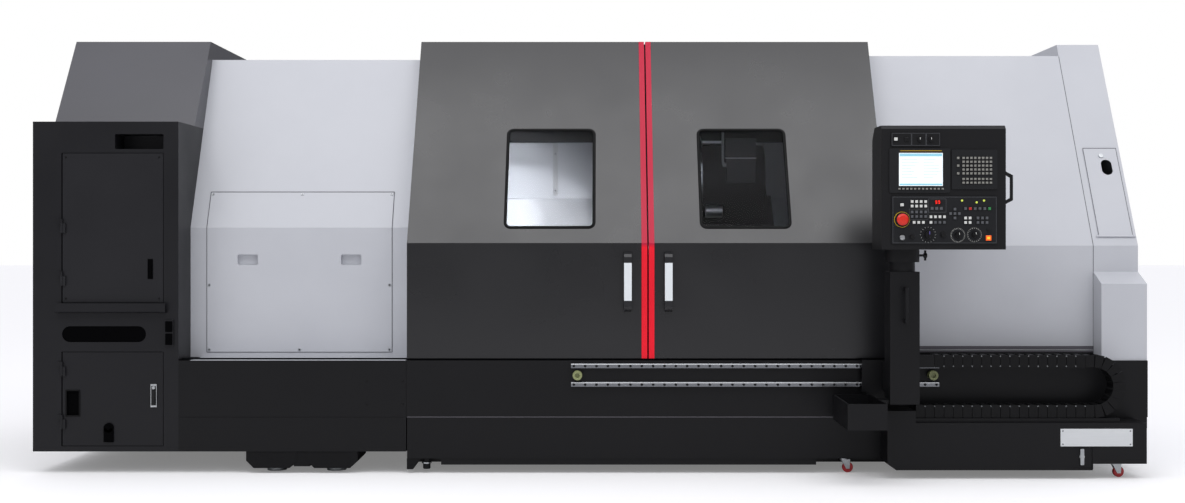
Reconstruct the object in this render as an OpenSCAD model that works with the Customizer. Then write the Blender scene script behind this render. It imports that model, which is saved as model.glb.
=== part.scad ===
/* [Bays along the length] */
// Width of the utility cabinet at the left end
cabinet_w = 773; // [740:1:900]
// Width of the headstock bay
headstock_bay_w = 1210; // [1190:1:1400]
// Width of one sliding door
door_w = 1280; // [1250:1:1400]
// Gap between the closed doors
door_gap = 8; // [4:1:16]
// Width of the tailstock bay
tail_bay_w = 1127; // [1110:1:1400]
// Width of the end section
end_w = 242; // [220:1:320]

/* [Heights] */
// Top of the doors, the hood and the end section
machine_top = 2380; // [2340:1:2500]
// Top of the base covers
base_top = 600; // [590:1:640]
// Seam between the base covers and what stands below
seam_z = 300; // [290:1:320]
// Lower edge of the skirts and of the bed
skirt_bottom = 117; // [100:1:130]
// Fold line of the doors
door_fold = 1224; // [1200:1:1260]
// Fold line of the headstock cover
headstock_fold = 1308; // [1280:1:1340]
// Roof over the headstock bay
headstock_roof = 2280; // [2200:1:2290]
// Fold line of the tailstock cover
tail_fold = 1210; // [1190:1:1240]
// Roof over the tailstock bay
tail_roof = 2310; // [2290:1:2330]
// Roof over the work area
work_roof = 2300; // [2280:1:2320]
// Top of the utility cabinet
cabinet_top = 1869; // [1840:1:1950]
// Height of the sill lip over the base covers
sill_h = 67; // [40:1:80]

/* [Depths behind the base front] */
// Depth of the machine body
body_depth = 2100; // [2060:1:2300]
// Lower plane of the doors
door_setback = 20; // [12:1:30]
// Depth of a door from face to back
door_depth = 70; // [50:1:80]
// How far the door tops lean back
door_lean = 600; // [560:1:620]
// Lower plane of the headstock cover
headstock_setback = 220; // [200:1:240]
// How far the headstock cover leans back
headstock_lean = 430; // [430:1:460]
// Lower plane of the tailstock cover
tail_setback = 135; // [125:1:150]
// Front edge of the hood
hood_setback = 290; // [250:1:330]
// How far the hood leans back
hood_lean = 326; // [280:1:380]

/* [Sheet metal] */
// Sheet thickness
sheet = 4; // [3:0.5:6]
// Width of the folded rim round a door
door_rim = 40; // [25:1:60]
// Width of the seams between base panels
seam_w = 4; // [2:1:6]
// Running gap between pieces that move
gap = 0.3; // [0.2:0.1:0.6]

/* [Sliding doors] */
// Width of a window
window_w = 476; // [300:1:520]
// Height of a window along the slope
window_h = 612; // [400:1:700]
// Corner radius of a window
window_r = 30; // [10:1:60]
// Window centre from the meeting line of the doors
window_x = 526; // [480:1:580]
// Window centre above the fold, along the slope
window_s = 400; // [380:1:480]
// Pane thickness
pane_t = 12; // [8:1:16]
// How far the pane laps over its hole
pane_lap = 24; // [10:1:40]
// Width of the red strip on the meeting edge
strip_w = 30; // [20:1:40]
// Thickness of that strip
strip_t = 6; // [3:1:10]
// Height of the running track under the doors
track_h = 10; // [6:1:14]
// Width of the running track
track_w = 12; // [8:1:20]
// Handle centre from the meeting edge
handle_inset = 104; // [80:1:160]
// Lower end of a door handle
handle_z = 858; // [800:1:900]
// Length of the grip
grip_l = 204; // [150:1:240]
// Width of the grip
grip_w = 40; // [30:1:50]
// Thickness of the grip
grip_t = 20; // [14:1:26]
// Height of the bracket at each end
grip_foot = 59; // [40:1:70]
// How far the grip stands off the door
grip_reach = 62; // [55:1:80]

/* [Slant bed] */
// Slope of the bed
slant = 45; // [45:1:45]
// Bed surface below the spindle axis, square to the slope
bed_drop = 520; // [500:1:540]
// Lower end of the bed surface, along the slope
bed_low = 450; // [430:1:470]
// Upper end of the bed surface, along the slope
bed_high = 870; // [860:1:890]
// Rear of the bed behind the spindle axis
bed_rear = 1150; // [1100:1:1200]
// Height of a guideway
way_h = 40; // [30:1:50]
// Width of a guideway
way_w = 60; // [40:1:80]
// Thickness of the bed's foot blocks
foot_block_h = 89; // [80:1:92]
// Radius of a levelling pad
pad_r = 52; // [40:1:60]

/* [Spindle and chuck] */
// Spindle axis behind the base front
spindle_back = 720; // [710:1:740]
// Height of the spindle axis
spindle_z = 1180; // [1170:1:1200]
// Radius of the spindle
spindle_r = 120; // [100:1:130]
// Radius of the bore through spindle and chuck
bore_r = 60; // [40:1:70]
// Radius of the chuck
chuck_r = 305; // [250:1:310]
// Length of the chuck
chuck_l = 225; // [180:1:260]
// Width of a jaw slot
jaw_slot_w = 44; // [30:1:60]
// Depth of a jaw slot
jaw_slot_d = 30; // [20:1:40]
// Height of a jaw above the chuck face
jaw_h = 70; // [50:1:90]
// Height of the headstock seat
headstock_seat = 560; // [540:1:570]

/* [Carriage and turret] */
// Length of the saddle
saddle_l = 510; // [460:1:520]
// Lower end of the saddle, along the slope
saddle_low = 165; // [160:1:180]
// Top of the saddle below the spindle axis
saddle_drop = 380; // [370:1:400]
// Way covers below the spindle axis
cover_drop = 430; // [425:1:445]
// Length of one way cover on the right
right_cover_l = 430; // [400:1:440]
// Lap of two way covers
cover_lap = 40; // [20:1:60]
// Turret axis from the spindle axis, along the slope
turret_u = 640; // [600:1:660]
// Radius of the turret disc over its corners
turret_r = 240; // [200:1:250]
// Thickness of the turret disc
turret_t = 105; // [80:1:120]
// Radial height of a tool block
tool_h = 70; // [40:1:80]
// Radius of the turret shaft
turret_shaft_r = 60; // [40:1:80]

/* [Tailstock] */
// Length of the tailstock
tail_l = 360; // [300:1:400]
// Room between the tailstock and the right wall
tail_room = 15; // [5:1:40]
// Radius of the quill barrel
barrel_r = 130; // [110:1:140]
// Radius of the quill
quill_r = 80; // [60:1:95]
// How far the quill stands out at rest
quill_out = 70; // [40:1:100]
// Length of the live centre's point
centre_l = 100; // [60:1:120]

/* [Pendant slide] */
// Left end of the guide rails from the machine's middle
rail_left = -102; // [-200:1:0]
// Number of holes in a rail
rail_holes = 33; // [31:1:36]
// Pitch of the rail holes
rail_pitch = 60; // [50:1:60]
// Height of the lower rail
rail_low = 475; // [465:1:485]
// Distance between the rails
rail_span = 98; // [90:1:110]
// Width of a rail
rail_w = 23; // [20:1:28]
// Height of a rail off the cover
rail_t = 22; // [18:1:28]
// Radius of a rail screw hole
rail_hole_r = 4.5; // [3:0.5:6]
// Radius of an end bumper
bumper_r = 25; // [20:1:30]
// Length of an end bumper
bumper_l = 40; // [30:1:50]
// Middle of the column from the machine's middle
column_x = 1599; // [1500:1:1610]
// Column's back in front of the base
column_back = 190; // [180:1:220]
// Width of the column
column_w = 150; // [120:1:170]
// Depth of the column
column_d = 140; // [120:1:170]
// Lower end of the column
column_low = 405; // [395:1:430]
// Upper end of the column
column_high = 1079; // [1000:1:1150]
// Radius of the swivel neck
neck_r = 65; // [55:1:70]
// Height of the swivel neck
neck_h = 113; // [90:1:130]
// Tray reach in front of the base
tray_reach = 480; // [400:1:520]
// Width of the tray
tray_w = 198; // [150:1:205]
// Height of the tray
tray_h = 131; // [100:1:140]
// Lower edge of the tray
tray_low = 294; // [290:1:320]

/* [Control pendant] */
// Width of the pendant
pendant_w = 622; // [600:1:660]
// Height of the pendant
pendant_h = 622; // [600:1:660]
// Depth of the pendant
pendant_d = 240; // [200:1:260]
// Left side of the pendant from the swivel axis
pendant_left = 139; // [120:1:160]
// Height of the panels off the pendant face
panel_t = 6; // [4:1:10]
// Height of the key caps
key_t = 4; // [2:1:6]
// Radius of the emergency stop
estop_r = 29; // [20:1:34]
// Radius of the mode dial
mode_r = 24; // [18:1:28]
// Radius of the override dials
dial_r = 18; // [14:1:22]
// Height of the dials
dial_h = 22; // [16:1:30]

/* [Drag chain] */
// Pitch of the links
link_pitch = 49; // [46:1:52]
// Height of a link
link_h = 66; // [60:1:70]
// Width of a link
link_w = 100; // [80:1:110]
// Mid-line radius of the bend
bend_r = 130; // [125:1:140]
// Links in the upper run
upper_links = 17; // [15:1:17]
// Links in the lower run
lower_links = 19; // [17:1:19]

/* [Chain trough and coolant tank] */
// Trough front in front of the base
trough_reach = 180; // [160:1:185]
// Left end of the trough from the machine's middle
trough_left = 1541; // [1530:1:1560]
// Right end of the trough from the machine's middle
trough_right = 2885; // [2850:1:2900]
// Top of the trough
trough_top = 292; // [280:1:296]
// Width of the raised block at the trough's left end
trough_block_w = 147; // [120:1:147]
// Height of that block over the trough
trough_block_h = 62; // [40:1:70]
// Start of the trough's raised underside
trough_step_x = 2605; // [2560:1:2640]
// Lower edge of the trough
trough_low = 47; // [40:1:60]
// Height of the caster seats
caster_z = 80; // [76:1:84]
// Depth of the coolant tank
tank_d = 700; // [600:1:720]
// Front of the sump behind the tank's front
sump_back = 110; // [100:1:160]
// Lower edge of the sump
sump_low = 45; // [40:1:60]
// Radius of a caster wheel
wheel_r = 28.5; // [26:0.5:29]
// Width of a caster wheel
wheel_w = 22; // [18:1:26]

/* [Utility cabinet] */
// Width of the cabinet doors
cab_door_w = 536; // [500:1:560]
// Left edge of the cabinet doors from the cabinet's side
cab_door_x = 155; // [130:1:170]
// Lower edge of the upper door
upper_door_low = 908; // [905:1:920]
// Height of the upper door
upper_door_h = 792; // [760:1:800]
// Lower edge of the lower door
lower_door_low = 148; // [140:1:160]
// Height of the lower door
lower_door_h = 496; // [460:1:510]
// Thickness of the cabinet doors
cab_door_t = 20; // [14:1:26]
// Gap round the cabinet doors
cab_door_gap = 3; // [2:1:4]

/* [Hidden] */
$fn = 48;
over = 1;

// Places along the length
machine_length = cabinet_w + headstock_bay_w + 2 * door_w + door_gap + tail_bay_w + end_w;
x_left = -machine_length / 2;
x_bay = x_left + cabinet_w;
x_door0 = x_bay + headstock_bay_w;
x_meet0 = x_door0 + door_w;
x_meet1 = x_meet0 + door_gap;
x_door1 = x_meet1 + door_w;
x_end = x_door1 + tail_bay_w;
x_right = x_end + end_w;
x_meet = (x_meet0 + x_meet1) / 2;
wall_in = 6;
x_wall0 = x_door0;
x_wall1 = x_door1 - wall_in;

// Places along the depth
fy = tray_reach - (body_depth + tray_reach) / 2;
rear = fy + body_depth;
spindle_y = fy + spindle_back;

// Door profile
door_bottom = base_top + track_h + gap;
door_tan = door_lean / (machine_top - door_fold);
door_angle = atan(door_tan);
head_tan = headstock_lean / (headstock_roof - headstock_fold);
sill_top = base_top + sill_h;
skin = sheet * cos(door_angle);

// Work area behind the doors
liner_gap = 2;
wall_drop = bed_drop - way_h - 10;
wall_foot = 40;
cover_top = bed_high + 25;
liner_back = along_bed_y(cover_top, -cover_drop);
chute_end = 420;
chute_low = 320;

// Bed
bed_front = along_bed_y(-bed_low, -bed_drop);
foot_low = skirt_bottom - foot_block_h;
pedestal_gap = 20;
carriage_ways = [260, 790];
tail_ways = [-360, 90];
pedestal_feet = [493, 815];
bed_feet = [500, 1700, 2900];
foot_l = 270;
rear_foot = 300;

// Spindle
head_gap = 10;
nose_x = x_door0 + 17;
chuck_face = nose_x + chuck_l;
jaw_low = 130;
jaw_l = 120;

// Carriage
saddle_x1 = x_wall1 - right_cover_l - 5;
saddle_x0 = saddle_x1 - saddle_l;
left_cover_l = (saddle_x0 - x_wall0 + 2 * cover_lap) / 3;
cover_t = 4;
cover_step = cover_t + 0.5;
cross_low = 380;
turret_x = saddle_x0 + 25;
turret_box_w = 380;
stations = 12;

// Tailstock
tail_x1 = x_wall1 - tail_room;
tail_x0 = tail_x1 - tail_l;
tail_low = -410;
tail_high = 140;

// Pendant slide
rail_l = rail_holes * rail_pitch - rail_pitch / 2;
bumper_z = rail_low + rail_span / 2;
carriage_x0 = column_x - 167;
carriage_x1 = column_x + 117;
carriage_back = 45;
block_w = 62;
block_l = 75;
tray_x1 = column_x - column_w / 2 - 44;
swivel_y = fy - column_back - column_d / 2;
swivel_low = column_high + 48;
pendant_low = column_high + neck_h;
pendant_x = column_x - pendant_left;
pendant_y = fy - column_back - pendant_d;
panel_y = pendant_y - panel_t;

// Drag chain
chain_y = fy - 150;
chain_floor = trough_top + 21;
chain_low = chain_floor + 3;
chain_high = chain_low + 2 * bend_r;
chain_start = trough_left + trough_block_w + 6;
bend_x = chain_start + lower_links * link_pitch;
upper_start = bend_x - upper_links * link_pitch;
bend_links = 9;
link_gap = 0.6;
link_wall = 8;

// Coolant tank and casters
tank_x0 = x_door0 + sheet;
tank_x1 = trough_step_x;
caster_left = [1353, fy + 45];
caster_right = [2745, fy - 100];
caster_trail = 20;
plate_t = 3;
axle_r = 4;

// Utility cabinet
cab_x0 = x_left + cab_door_x;
cab_x1 = cab_x0 + cab_door_w;

// Height and depth on the slant bed, u along the slope and v square to it
function along_bed_y(u, v) = spindle_y + u * cos(slant) - v * sin(slant);
function along_bed_z(u, v) = spindle_z + u * sin(slant) + v * cos(slant);
function bed_line_z(y, drop) =
  spindle_z + tan(slant) * (y - spindle_y - drop * sin(slant)) - drop * cos(slant);

// Face of a folded cover at a height
function fold_y(y0, fold, lean, z) = y0 + (z > fold ? (z - fold) * lean : 0);
function door_y(z) = fold_y(fy + door_setback, door_fold, door_tan, z);

// Band that follows a folded face from depth a to depth b
function fold_band(y0, fold, lean, a, b, za, zb) = [
  [y0 + a, za], [y0 + a, fold], [fold_y(y0, fold, lean, zb) + a, zb],
  [fold_y(y0, fold, lean, zb) + b, zb], [y0 + b, fold], [y0 + b, za]
];
function door_band(a, b, za, zb) =
  fold_band(fy + door_setback, door_fold, door_tan, a, b, za, zb);

// Folded sheet with a roof that runs to the rear
function roofed_sheet(y0, za, fold, lean, roof) = [
  [y0, za], [y0, fold], [fold_y(y0, fold, lean, roof), roof], [rear, roof],
  [rear, roof - sheet], [fold_y(y0, fold, lean, roof - sheet) + sheet, roof - sheet],
  [y0 + sheet, fold], [y0 + sheet, za]
];

module block(xa, xb, ya, yb, za, zb) {
  translate([xa, ya, za]) cube([xb - xa, yb - ya, zb - za]);
}

// Profile in depth and height, drawn out along the length
module along_x(points, xa, xb) {
  translate([xa, 0, 0]) rotate([90, 0, 90]) linear_extrude(xb - xa) polygon(points);
}

// Profile in length and height, drawn out along the depth
module along_y(points, ya, yb) {
  translate([0, yb, 0]) rotate([90, 0, 0]) linear_extrude(yb - ya) polygon(points);
}

module rod_x(x, y, z, r, l) {
  translate([x, y, z]) rotate([0, 90, 0]) cylinder(h = l, r = r);
}

module rod_y(x, y, z, r, l) {
  translate([x, y, z]) rotate([-90, 0, 0]) cylinder(h = l, r = r);
}

module rod_z(x, y, z, r, l) {
  translate([x, y, z]) cylinder(h = l, r = r);
}

module rounded_rect(w, h, r) {
  square([w - 2 * r, h], center = true);
  square([w, h - 2 * r], center = true);
  for (sx = [-1, 1], sy = [-1, 1])
    translate([sx * (w / 2 - r), sy * (h / 2 - r)]) circle(r);
}

// Rounded plate that faces the front, centred at x and z, from depth ya to yb
module front_plate(x, z, w, h, r, ya, yb) {
  translate([x, yb, z]) rotate([90, 0, 0]) linear_extrude(yb - ya) rounded_rect(w, h, r);
}

// Frame on a leaning face, y up the slope and z square out of it
module on_slope(x, y0, fold, angle) {
  translate([x, y0, fold]) rotate([90 - angle, 0, 0]) children();
}

module on_door(x) {
  on_slope(x, fy + door_setback, door_fold, door_angle) children();
}

// Frame on the slant bed, y up the slope and z square to it
module on_bed() {
  translate([0, spindle_y, spindle_z]) rotate([slant, 0, 0]) children();
}

module bed_foot(x, ya, yb) {
  half = foot_l / 2;
  cut = 40;
  along_y([[x - half, skirt_bottom], [x - half, foot_low + cut], [x - half + cut, foot_low],
    [x + half - cut, foot_low], [x + half, foot_low + cut], [x + half, skirt_bottom]], ya, yb);
}

module bed_casting() {
  top = along_bed_z(bed_high, -bed_drop);
  back = spindle_y + bed_rear;
  x0 = x_bay + pedestal_gap;
  x1 = x_end - 60;
  neck = x_door0 - pedestal_gap;
  neck_gap = 30;
  neck_reach = 200;
  neck_inset = 60;
  color("#3a3a3e") union() {
    along_x([[bed_front, skirt_bottom], [bed_front, along_bed_z(-bed_low, -bed_drop)],
      [along_bed_y(bed_high, -bed_drop), top], [back, top], [back, skirt_bottom]], neck, x1);
    block(x0, neck - neck_gap, fy + sheet, back, skirt_bottom, headstock_seat);
    block(neck - neck_reach, neck + neck_reach, bed_front + neck_inset, back - neck_inset,
      skirt_bottom + neck_inset, headstock_seat - neck_inset);
    for (u = concat(carriage_ways, tail_ways))
      on_bed() translate([neck + neck_gap, u - way_w / 2, -bed_drop - over])
        cube([x1 - neck - 2 * neck_gap, way_w, way_h + over]);
    for (x = pedestal_feet) {
      bed_foot(x_bay + x, fy + sheet, fy + sheet + foot_l);
      bed_foot(x_bay + x, back - rear_foot, back);
    }
    for (x = bed_feet) {
      bed_foot(x_door0 + x, bed_front, bed_front + foot_l);
      bed_foot(x_door0 + x, back - rear_foot, back);
    }
  }
}

module levelling_foot(x, y) {
  stud_r = 18;
  pad_h = foot_low - 8;
  rod_z(x, y, 0, pad_r, pad_h);
  rod_z(x, y, pad_h - over, stud_r, foot_low - pad_h + over);
}

module levelling_feet() {
  back = spindle_y + bed_rear - rear_foot / 2;
  color("#8a8a8c") {
    for (x = pedestal_feet) {
      levelling_foot(x_bay + x, fy + sheet + foot_l / 2);
      levelling_foot(x_bay + x, back);
    }
    for (x = bed_feet) {
      levelling_foot(x_door0 + x, bed_front + foot_l / 2);
      levelling_foot(x_door0 + x, back);
    }
  }
}

module base_cover_left() {
  x1 = x_door0 - over - gap;
  color("#262628") difference() {
    block(x_bay, x1, fy, fy + headstock_setback, skirt_bottom, base_top);
    block(x_bay + sheet, x1 - sheet, fy + sheet, fy + headstock_setback + over,
      skirt_bottom - over, base_top - sheet);
    block(x_bay - over, x_door0 + over, fy - over, fy + sheet / 2,
      seam_z - seam_w / 2, seam_z + seam_w / 2);
  }
}

module base_cover_centre() {
  back = fy + tail_setback;
  color("#262628") union() {
    difference() {
      block(x_door0, x_right, fy, back, seam_z, base_top);
      block(x_door0 + sheet, x_right - sheet, fy + sheet, back + over,
        seam_z - over, base_top - sheet);
    }
    block(x_door0, x_end, back - sheet, back, base_top - over, sill_top);
  }
}

// Front outline of the trough, drawn in by d
function trough_outline(d) = [
  [trough_left + d, trough_low + 32 + d], [trough_left + d, trough_top + trough_block_h - d],
  [trough_left + trough_block_w - d, trough_top + trough_block_h - d],
  [trough_left + trough_block_w - d, trough_top - d], [trough_right - d, trough_top - d],
  [trough_right - d, caster_z + d], [trough_step_x + d, caster_z + d],
  [trough_step_x + d, trough_low + d], [trough_left + 45 + d, trough_low + d]
];

module caster_plate(at) {
  block(at[0] - 32, at[0] + 32, at[1] - 25, at[1] + 25, caster_z - plate_t, caster_z + over);
}

module chain_trough() {
  drain_x = trough_step_x - 56;
  drain_w = 108;
  drain_h = 118;
  color("#2b2b2e") union() {
    difference() {
      along_y(trough_outline(0), fy - trough_reach, fy);
      along_y(trough_outline(sheet), fy - trough_reach + sheet, fy + over);
      block(drain_x - drain_w / 2, drain_x + drain_w / 2, fy - trough_reach - over,
        fy - trough_reach + sheet + over, trough_low + 2 * sheet, trough_low + drain_h);
    }
    block(chain_start - 6, bend_x + bend_r, chain_y - 5, chain_y + link_w + 5, trough_top - over,
      chain_floor);
    rod_y(drain_x, fy - trough_reach + 20, trough_low + 70, 14, trough_reach - 20);
    rod_y(drain_x, fy - trough_reach + 8, trough_low + 70, 11, 14);
    intersection() {
      caster_plate(caster_right);
      block(trough_step_x, trough_right, fy - trough_reach, fy, 0, caster_z + sheet);
    }
  }
}

module coolant_tank() {
  top = seam_z - gap;
  color("#1f1f22") union() {
    difference() {
      union() {
        block(tank_x0, tank_x1, fy, fy + tank_d, caster_z, top);
        block(tank_x0, tank_x1, fy + sump_back, fy + tank_d, sump_low, caster_z + over);
      }
      block(tank_x0 + sheet, tank_x1 - sheet, fy + sheet, fy + tank_d - sheet,
        caster_z + sheet, top + over);
      block(tank_x0 + sheet, tank_x1 - sheet, fy + sump_back + sheet, fy + tank_d - sheet,
        sump_low + sheet, top);
    }
    caster_plate(caster_left);
  }
}

// Cross-section of a guide rail with ball grooves, standing off the cover
function rail_section(z) = let (h = rail_w / 2, t = rail_t, g = 3) [
  [fy, z - h], [fy - t * 0.35, z - h], [fy - t * 0.45, z - h + g], [fy - t * 0.6, z - h + g],
  [fy - t * 0.7, z - h], [fy - t, z - h], [fy - t, z + h], [fy - t * 0.7, z + h],
  [fy - t * 0.6, z + h - g], [fy - t * 0.45, z + h - g], [fy - t * 0.35, z + h], [fy, z + h]
];

module guide_rails() {
  bore_depth = 9;
  color("#b9bcc0") for (z = [rail_low, rail_low + rail_span]) difference() {
    along_x(rail_section(z), rail_left, rail_left + rail_l);
    for (i = [0 : rail_holes - 1]) {
      x = rail_left + rail_pitch * (i + 0.25);
      rod_y(x, fy - rail_t - over, z, rail_hole_r * 1.7, bore_depth + over);
      rod_y(x, fy - rail_t, z, rail_hole_r, rail_t + over);
    }
  }
}

module rail_bumpers() {
  inset = 34;
  color("#9a9f58") for (x = [rail_left + inset, rail_left + rail_l - inset]) difference() {
    rod_y(x, fy - bumper_l, bumper_z, bumper_r, bumper_l);
    rod_y(x, fy - bumper_l - over, bumper_z, bumper_r * 0.5, bumper_l * 0.3 + over);
  }
}

// One chain link, its middle at the origin, x along the chain, taper for the bend
module chain_link(low, high) {
  half = link_h / 2;
  bar = 22;
  for (y = [0, link_w - link_wall])
    along_y([[-low / 2, -half], [low / 2, -half], [high / 2, half], [-high / 2, half]],
      y, y + link_wall);
  for (z = [-half + 2, half - link_wall - 2])
    translate([-bar / 2, link_wall - over, z])
      cube([bar, link_w - 2 * link_wall + 2 * over, link_wall]);
}

module chain_run(x, z, links) {
  for (i = [0 : links - 1])
    translate([x + (i + 0.5) * link_pitch, chain_y, z])
      chain_link(link_pitch - link_gap, link_pitch - link_gap);
}

module chain_lower() {
  foot_x = chain_start - 6;
  color("#1b1b1d") {
    chain_run(chain_start, chain_low + link_h / 2, lower_links);
    block(foot_x, chain_start - link_gap, chain_y, chain_y + link_w, chain_floor,
      chain_low + link_h);
  }
}

module chain_upper() {
  color("#1b1b1d") chain_run(upper_start, chain_high + link_h / 2, upper_links);
}

module chain_bend() {
  step = 180 / bend_links;
  low = 2 * (bend_r - link_h / 2) * tan(step / 2) - link_gap;
  color("#1b1b1d") translate([bend_x, chain_y, chain_low + link_h / 2 + bend_r])
    for (i = [0 : bend_links - 1])
      rotate([0, (i + 0.5) * step, 0]) translate([0, 0, bend_r])
        chain_link(low, link_pitch - 2 * link_gap);
}

module headstock_cover() {
  y0 = fy + headstock_setback;
  hole_in = 40;
  color("#c3c6ca") difference() {
    along_x(roofed_sheet(y0, base_top, headstock_fold, head_tan, headstock_roof),
      x_bay, x_door0 - sheet);
    block(panel_x0 + hole_in, panel_x1 - hole_in, y0 - over, y0 + sheet + over,
      panel_low + hole_in, headstock_fold - hole_in);
  }
}

// Screwed access panel over the headstock
panel_x0 = x_bay + 91;
panel_x1 = x_door0 - 110;
panel_low = 629;
panel_high = 1503;
panel_sheet = 3;
pull_w = 112;
pull_h = 58;
pull_d = 24;
pull_z = 1132;

module access_panel() {
  y0 = fy + headstock_setback;
  pulls = [panel_x0 + 222, panel_x1 - 222];
  color("#c3c6ca") difference() {
    union() {
      along_x(fold_band(y0, headstock_fold, head_tan, -panel_sheet, 0, panel_low, panel_high),
        panel_x0, panel_x1);
      for (x = pulls)
        block(x - pull_w / 2 - panel_sheet, x + pull_w / 2 + panel_sheet, y0 - over,
          y0 + pull_d + panel_sheet, pull_z - pull_h / 2 - panel_sheet,
          pull_z + pull_h / 2 + panel_sheet);
    }
    for (x = pulls)
      front_plate(x, pull_z, pull_w, pull_h, 10, y0 - panel_sheet - over, y0 + pull_d);
  }
}

module tailstock_cover() {
  color("#c3c6ca")
    along_x(roofed_sheet(fy + tail_setback, sill_top, tail_fold, door_tan, tail_roof),
      x_wall1 + sheet, x_end);
}

// Outline of the end section, drawn in by d
end_box_setback = 10;
end_box_front = 1007;
end_box_back = 1069;
function end_outline(d) = let (y0 = fy + tail_setback) [
  [y0 + d, skirt_bottom + d], [y0 + d, base_top + d], [fy + end_box_setback + d, base_top + d],
  [fy + end_box_setback + d, end_box_front - d], [y0 + d, end_box_back - d], [y0 + d, tail_fold],
  [fold_y(y0, tail_fold, door_tan, machine_top - d) + d, machine_top - d],
  [rear - d, machine_top - d], [rear - d, skirt_bottom + d]
];

// Service lid on the end section
lid_side = 37;
lid_margin = 18;
lid_low = 54;
lid_l = 556;
lid_t = 5;
lid_lug_l = 12;
lock_inset = 50;
lock_r = 12;

module on_end_slope() {
  on_slope(x_end + lid_side, fy + tail_setback, tail_fold, door_angle) children();
}

// Hinge lug on the end section, in line with the rolled edge of the lid
module lid_lug(x) {
  on_end_slope() union() {
    translate([x, lid_low - lid_t, -over]) cube([lid_lug_l, 2 * lid_t, lid_t + gap + over]);
    translate([x, lid_low, lid_t + gap]) rotate([0, 90, 0]) cylinder(h = lid_lug_l, r = lid_t);
  }
}

module end_cover() {
  lid_w = end_w - lid_side - lid_margin;
  rim = 20;
  color("#c3c6ca") union() {
    difference() {
      along_x(end_outline(0), x_end, x_right);
      along_x(end_outline(sheet), x_end + sheet, x_right - sheet);
      on_end_slope() translate([rim, lid_low + rim, -2 * sheet])
        cube([lid_w - 2 * rim, lid_l - 2 * rim, 3 * sheet]);
    }
    for (x = [-lid_lug_l - over, lid_w + over]) lid_lug(x);
  }
}

module service_lid() {
  lid_w = end_w - lid_side - lid_margin;
  port = [30, 38];
  color("#c9ccd0") on_end_slope() difference() {
    union() {
      translate([0, lid_low, gap]) cube([lid_w, lid_l, lid_t]);
      translate([0, lid_low, lid_t + gap]) rotate([0, 90, 0]) cylinder(h = lid_w, r = lid_t);
      translate([lid_w / 2, lid_low + lid_l - lock_inset, lid_t]) cylinder(h = lid_t, r = lock_r);
    }
    translate([lid_w * 0.62, lid_low + lid_l * 0.78, -over]) linear_extrude(3 * lid_t) {
      translate([0, -port[1] / 2]) circle(port[0]);
      translate([0, port[1] / 2]) circle(port[0]);
      square([2 * port[0], port[1]], center = true);
    }
  }
}

module door_track() {
  y = fy + door_setback + door_depth / 2;
  color("#85878a")
    block(x_bay + sheet, x_end - sheet, y - track_w / 2, y + track_w / 2,
      base_top, base_top + track_h);
}

module louvres(x, z) {
  for (i = [0 : 11])
    block(x, x + 320, rear - sheet - over, rear + over, z + i * 34, z + i * 34 + 12);
}

module rear_enclosure() {
  header_y = fy + door_setback + door_depth + door_lean + liner_gap;
  beam_h = 80;
  beam_d = 60;
  color("#b9bcc0") {
    difference() {
      union() {
        block(x_bay, x_door0 - sheet + over, rear - sheet, rear, skirt_bottom,
          headstock_roof - sheet);
        block(x_door0 - sheet, x_wall1 + sheet, rear - sheet, rear, skirt_bottom,
          work_roof - sheet);
        block(x_wall1 + sheet - over, x_end, rear - sheet, rear, skirt_bottom,
          tail_roof - sheet);
      }
      for (x = [x_bay + 160, x_bay + 620, x_end - 480], z = [300, 1500]) louvres(x, z);
    }
    union() {
      block(x_wall0 - sheet, x_wall1 + sheet, header_y, rear, work_roof - sheet, work_roof);
      block(x_wall0 + gap, x_wall1 - gap, header_y, header_y + beam_d, work_roof - beam_h,
        work_roof - sheet + over);
    }
  }
}

// Utility cabinet front
pocket_x = x_left + 565;
pocket_w = 258;
pocket_z = 1763;
pocket_h = 80;
pocket_d = 150;
ledge_z = 852;
ledge_h = 53;
ledge_d = 30;
slot_x = x_left + 378;
slot_w = 446;
slot_z = 740;
slot_h = 85;
switch_x = x_left + 725;
switch_z = 746;

// Cabinet hinges, their pins clear of the front
hinge_r = 7;
hinge_pin_r = 3;
hinge_l = 50;
hinge_y = fy - hinge_r - 1;
hinge_at = [90, 370];

// Hinge barrel on the cabinet with the pin that hangs from it
module hinge_pin(z) {
  foot = z + hinge_l + gap;
  rod_z(cab_x0, hinge_y, z, hinge_pin_r, hinge_l + gap + over);
  rod_z(cab_x0, hinge_y, foot, hinge_r, hinge_l / 2);
  block(cab_x0 - 3 * hinge_r, cab_x0, hinge_y - 2, fy + over, foot, foot + hinge_l / 2);
}

module cab_hole(low, high) {
  block(cab_x0 - cab_door_gap, cab_x1 + cab_door_gap, fy - over, fy + sheet + over,
    low - cab_door_gap, high + cab_door_gap);
}

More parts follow.
